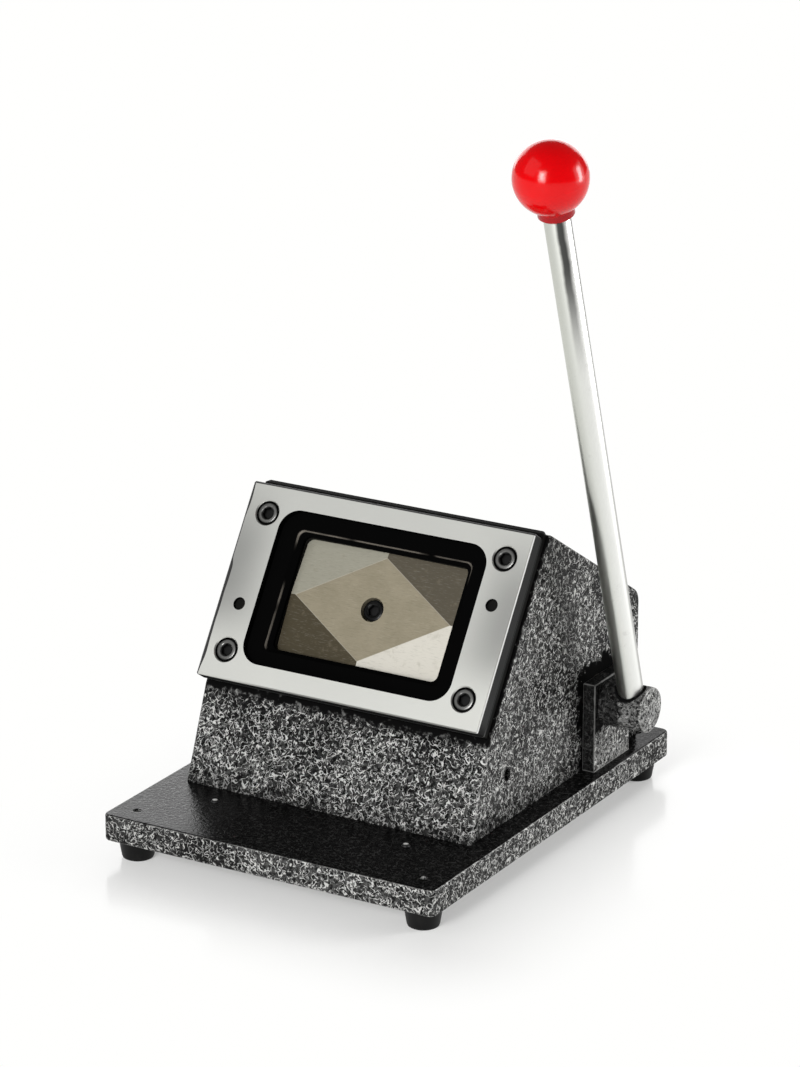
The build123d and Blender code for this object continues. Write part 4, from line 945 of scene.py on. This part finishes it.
dress(hammer_paint(
    "hub_paint", hub_depths, rubbed=0.0007, matt=hub_shade, haze_shade=HUB_HAZE_SHEEN,
), "lever_hub")


def bright_rod():
    """Bright drawn steel with painted reflections: lighter towards one side, a dark line at that edge, a
    dark streak below the knob.
    """
    made, where = new_finish("bright_steel_rod")
    scuff = ease(noise(where, 0.006, 5.0, 0.7), 0.60, 0.75)
    line = noise(stretch(where, (1.0, 1.0, 0.03)), 0.0007)
    cross = along(where, LIT_SIDE, rod_foot) * (1 / ROD_RADIUS)
    # Painted reflection: a dark streak down the rod below the knob.
    streak = ease(abs(cross - 0.17 + stray(where, 0.012, 0.25)), 0.44, 0.14)
    streak = streak * ease(along(where, rod_course, rod_foot), neck_start - 0.085, neck_start - 0.020)
    coat(where, {
        "Base Color": layered(
            # Painted reflection: lighter towards the lit side, with a dark line at its edge.
            tint(ease(cross, -0.9, 0.9), (0.62, 0.635, 0.585), (0.95, 0.955, 0.93)),
            (ease(cross, 0.80, 0.97) * 0.75, (0.24, 0.24, 0.23)),
            (scuff * 0.25 + line * 0.2, (0.46, 0.46, 0.43)),
            (streak * 0.93, (0.03, 0.03, 0.03)),
        ),
        "Metallic": 1.0, "Roughness": 0.27 + line * 0.08 + scuff * 0.10,
        "Normal": relief(line, 0.000003),
    })
    return made


rod = spun(bmesh.new(), [
    (0, ROD_SEAT), (ROD_RADIUS - ROD_CHAMFER, ROD_SEAT), (ROD_RADIUS, ROD_SEAT + ROD_CHAMFER),
    (ROD_RADIUS, neck_start - ROD_TOP_DROP), (ROD_RADIUS - ROD_TOP_INSET, neck_start), (0, neck_start),
], 96)
bmesh.ops.transform(rod, matrix=lean, verts=rod.verts)
settle(rod, "polished_rod", bright_rod(), "lever", ["lever_rod"])


def red_plastic():
    """Glossy red phenolic, evenly coloured, with painted shade on the neck and the faintest ripple."""
    made, where = new_finish("red_phenolic")
    swirl = noise(where, 0.02, 3.0)
    # Painted shade on the neck, below the ball.
    neck = ease(along(where, rod_course, rod_foot), neck_start + 0.0042, neck_start + 0.0030)
    red = tint(swirl, (0.56, 0.0, 0.001), (0.64, 0.0, 0.002))
    coat(where, {
        "Base Color": tint(neck * 0.7, red, (0.16, 0.0, 0.004)),
        "Roughness": 0.13 + swirl * 0.05, "Specular IOR Level": 0.28,
        "Normal": relief(noise(where, 0.004), 0.000006),
    })
    return made


neck_angle = math.asin(KNOB_NECK_RADIUS / KNOB_RADIUS)
knob_profile = [
    (ROD_RADIUS * 0.7, neck_start), (KNOB_NECK_RADIUS - KNOB_NECK_CHAMFER, neck_start),
    (KNOB_NECK_RADIUS, neck_start + KNOB_NECK_CHAMFER),
]
for ring in range(KNOB_RINGS + 1):
    turn = neck_angle + (math.pi - neck_angle) * ring / KNOB_RINGS
    bulge = KNOB_SEAM * max(0.0, 1 - abs(turn - math.pi / 2) / SEAM_SPAN)
    reach = KNOB_RADIUS - KNOB_SEAM + bulge
    radius = reach * math.sin(turn) if ring < KNOB_RINGS else 0
    knob_profile.append((radius, rod_reach - reach * math.cos(turn)))
knob = spun(bmesh.new(), knob_profile, 96)
bmesh.ops.transform(knob, matrix=lean, verts=knob.verts)
settle(knob, "red_ball", red_plastic(), "lever", ["ball_knob"])

# Studio
# A pale floor runs on as a white backdrop. Two nested soft lights stand tall in front, two more low at
# the right rear, a wide one behind at the left, and a weak one hangs high at the front left.
CAMERA_LENS = 201.6
CAMERA_SENSOR = 36.0
CAMERA_PLACE = Vector((0.97567, -1.6177, 0.6844))
FLOOR_SIZE = 12

camera_data = bpy.data.cameras.new("camera")
camera = bpy.data.objects.new("camera", camera_data)
bpy.context.scene.collection.objects.link(camera)
camera_data.sensor_fit = "HORIZONTAL"
camera_data.sensor_width = CAMERA_SENSOR
camera_data.lens = CAMERA_LENS
camera_data.clip_end = 30.0
camera_right = Vector((0.8607, 0.5090, 0.0)).normalized()
camera_back = Vector((0.4813, -0.8138, 0.3257)).normalized()
camera_up = camera_back.cross(camera_right)
camera_turn = Matrix((camera_right, camera_up, camera_back)).transposed().to_4x4()
camera.matrix_world = Matrix.Translation(die_centre + CAMERA_PLACE) @ camera_turn
bpy.context.scene.camera = camera


def floor_finish():
    """Pale floor that the camera and reflections see grow whiter away from the object."""
    made, where = new_finish("pale_floor")
    speck = noise(where, 0.5)
    shader = where.node("BsdfPrincipled", {}, {
        "Base Color": tint(speck, (0.90, 0.90, 0.89), (0.92, 0.92, 0.91)), "Roughness": 0.16,
        "Specular IOR Level": 0.4,
    })
    white = where.node("Emission", {}, {"Color": (1.0, 1.0, 0.99), "Strength": 1.0})
    camera_ray = where.node("LightPath", {}, {}, "Is Camera Ray")
    glossy_ray = where.node("LightPath", {}, {}, "Is Glossy Ray")
    spread = where.node("VectorMath", {"operation": "ABSOLUTE"}, {0: where}, "Vector")
    spread = where.node("VectorMath", {"operation": "SUBTRACT"}, {0: spread, 1: base_high}, "Vector")
    spread = where.node("VectorMath", {"operation": "MAXIMUM"}, {0: spread, 1: (0, 0, 0)}, "Vector")
    apart = where.node("VectorMath", {"operation": "LENGTH"}, {0: spread}, "Value")
    far = 0.28 + ease(apart, -0.01, 0.075) * 0.72
    mixed = where.node("MixShader", {}, {0: camera_ray.most(glossy_ray) * far, 1: shader, 2: white})
    where.node("OutputMaterial", {}, {"Surface": mixed})
    return made


bpy.ops.mesh.primitive_plane_add(size=FLOOR_SIZE, location=(0, 0, 0))
floor = bpy.context.object
floor.name = "floor"
floor.data.materials.append(floor_finish())


def soft_light(name, place, aim, width, height, power):
    """A rectangular soft light that looks at a point."""
    lamp = bpy.data.lights.new(name, "AREA")
    lamp.shape = "RECTANGLE"
    lamp.size, lamp.size_y, lamp.energy = width, height, power
    made = bpy.data.objects.new(name, lamp)
    made.location = place
    made.rotation_euler = (Vector(aim) - Vector(place)).to_track_quat("-Z", "Y").to_euler()
    bpy.context.scene.collection.objects.link(made)


soft_light("front", (0.16, -1.90, 0.82), (0, 0, 0.10), 0.72, 1.1, 28)
soft_light("front_core", (0.16, -1.88, 0.82), (0, 0, 0.10), 0.34, 0.66, 12)
soft_light("right_rear", (1.45, 1.00, 0.45), (0, 0, 0.12), 1.2, 1.3, 11)
soft_light("right_core", (1.43, 0.985, 0.50), (0, 0, 0.12), 0.45, 0.9, 18)
soft_light("left_rear", (-0.85, 1.45, 0.65), (0, 0, 0.05), 2.4, 1.1, 22)
soft_light("high_left", (-0.95, -1.15, 1.25), (0, 0, 0.10), 1.4, 1.4, 5)

world = bpy.data.worlds.new("studio")
bpy.context.scene.world = world
world.use_nodes = True
world.node_tree.nodes.clear()
sky = Flow(world.node_tree)
strength = 0.12 + sky.node("LightPath", {}, {}, "Is Camera Ray") * 0.88
background = sky.node("Background", {}, {"Color": (1.0, 1.0, 1.0), "Strength": strength})
sky.node("OutputWorld", {}, {"Surface": background})

bpy.context.scene.view_settings.view_transform = "Standard"
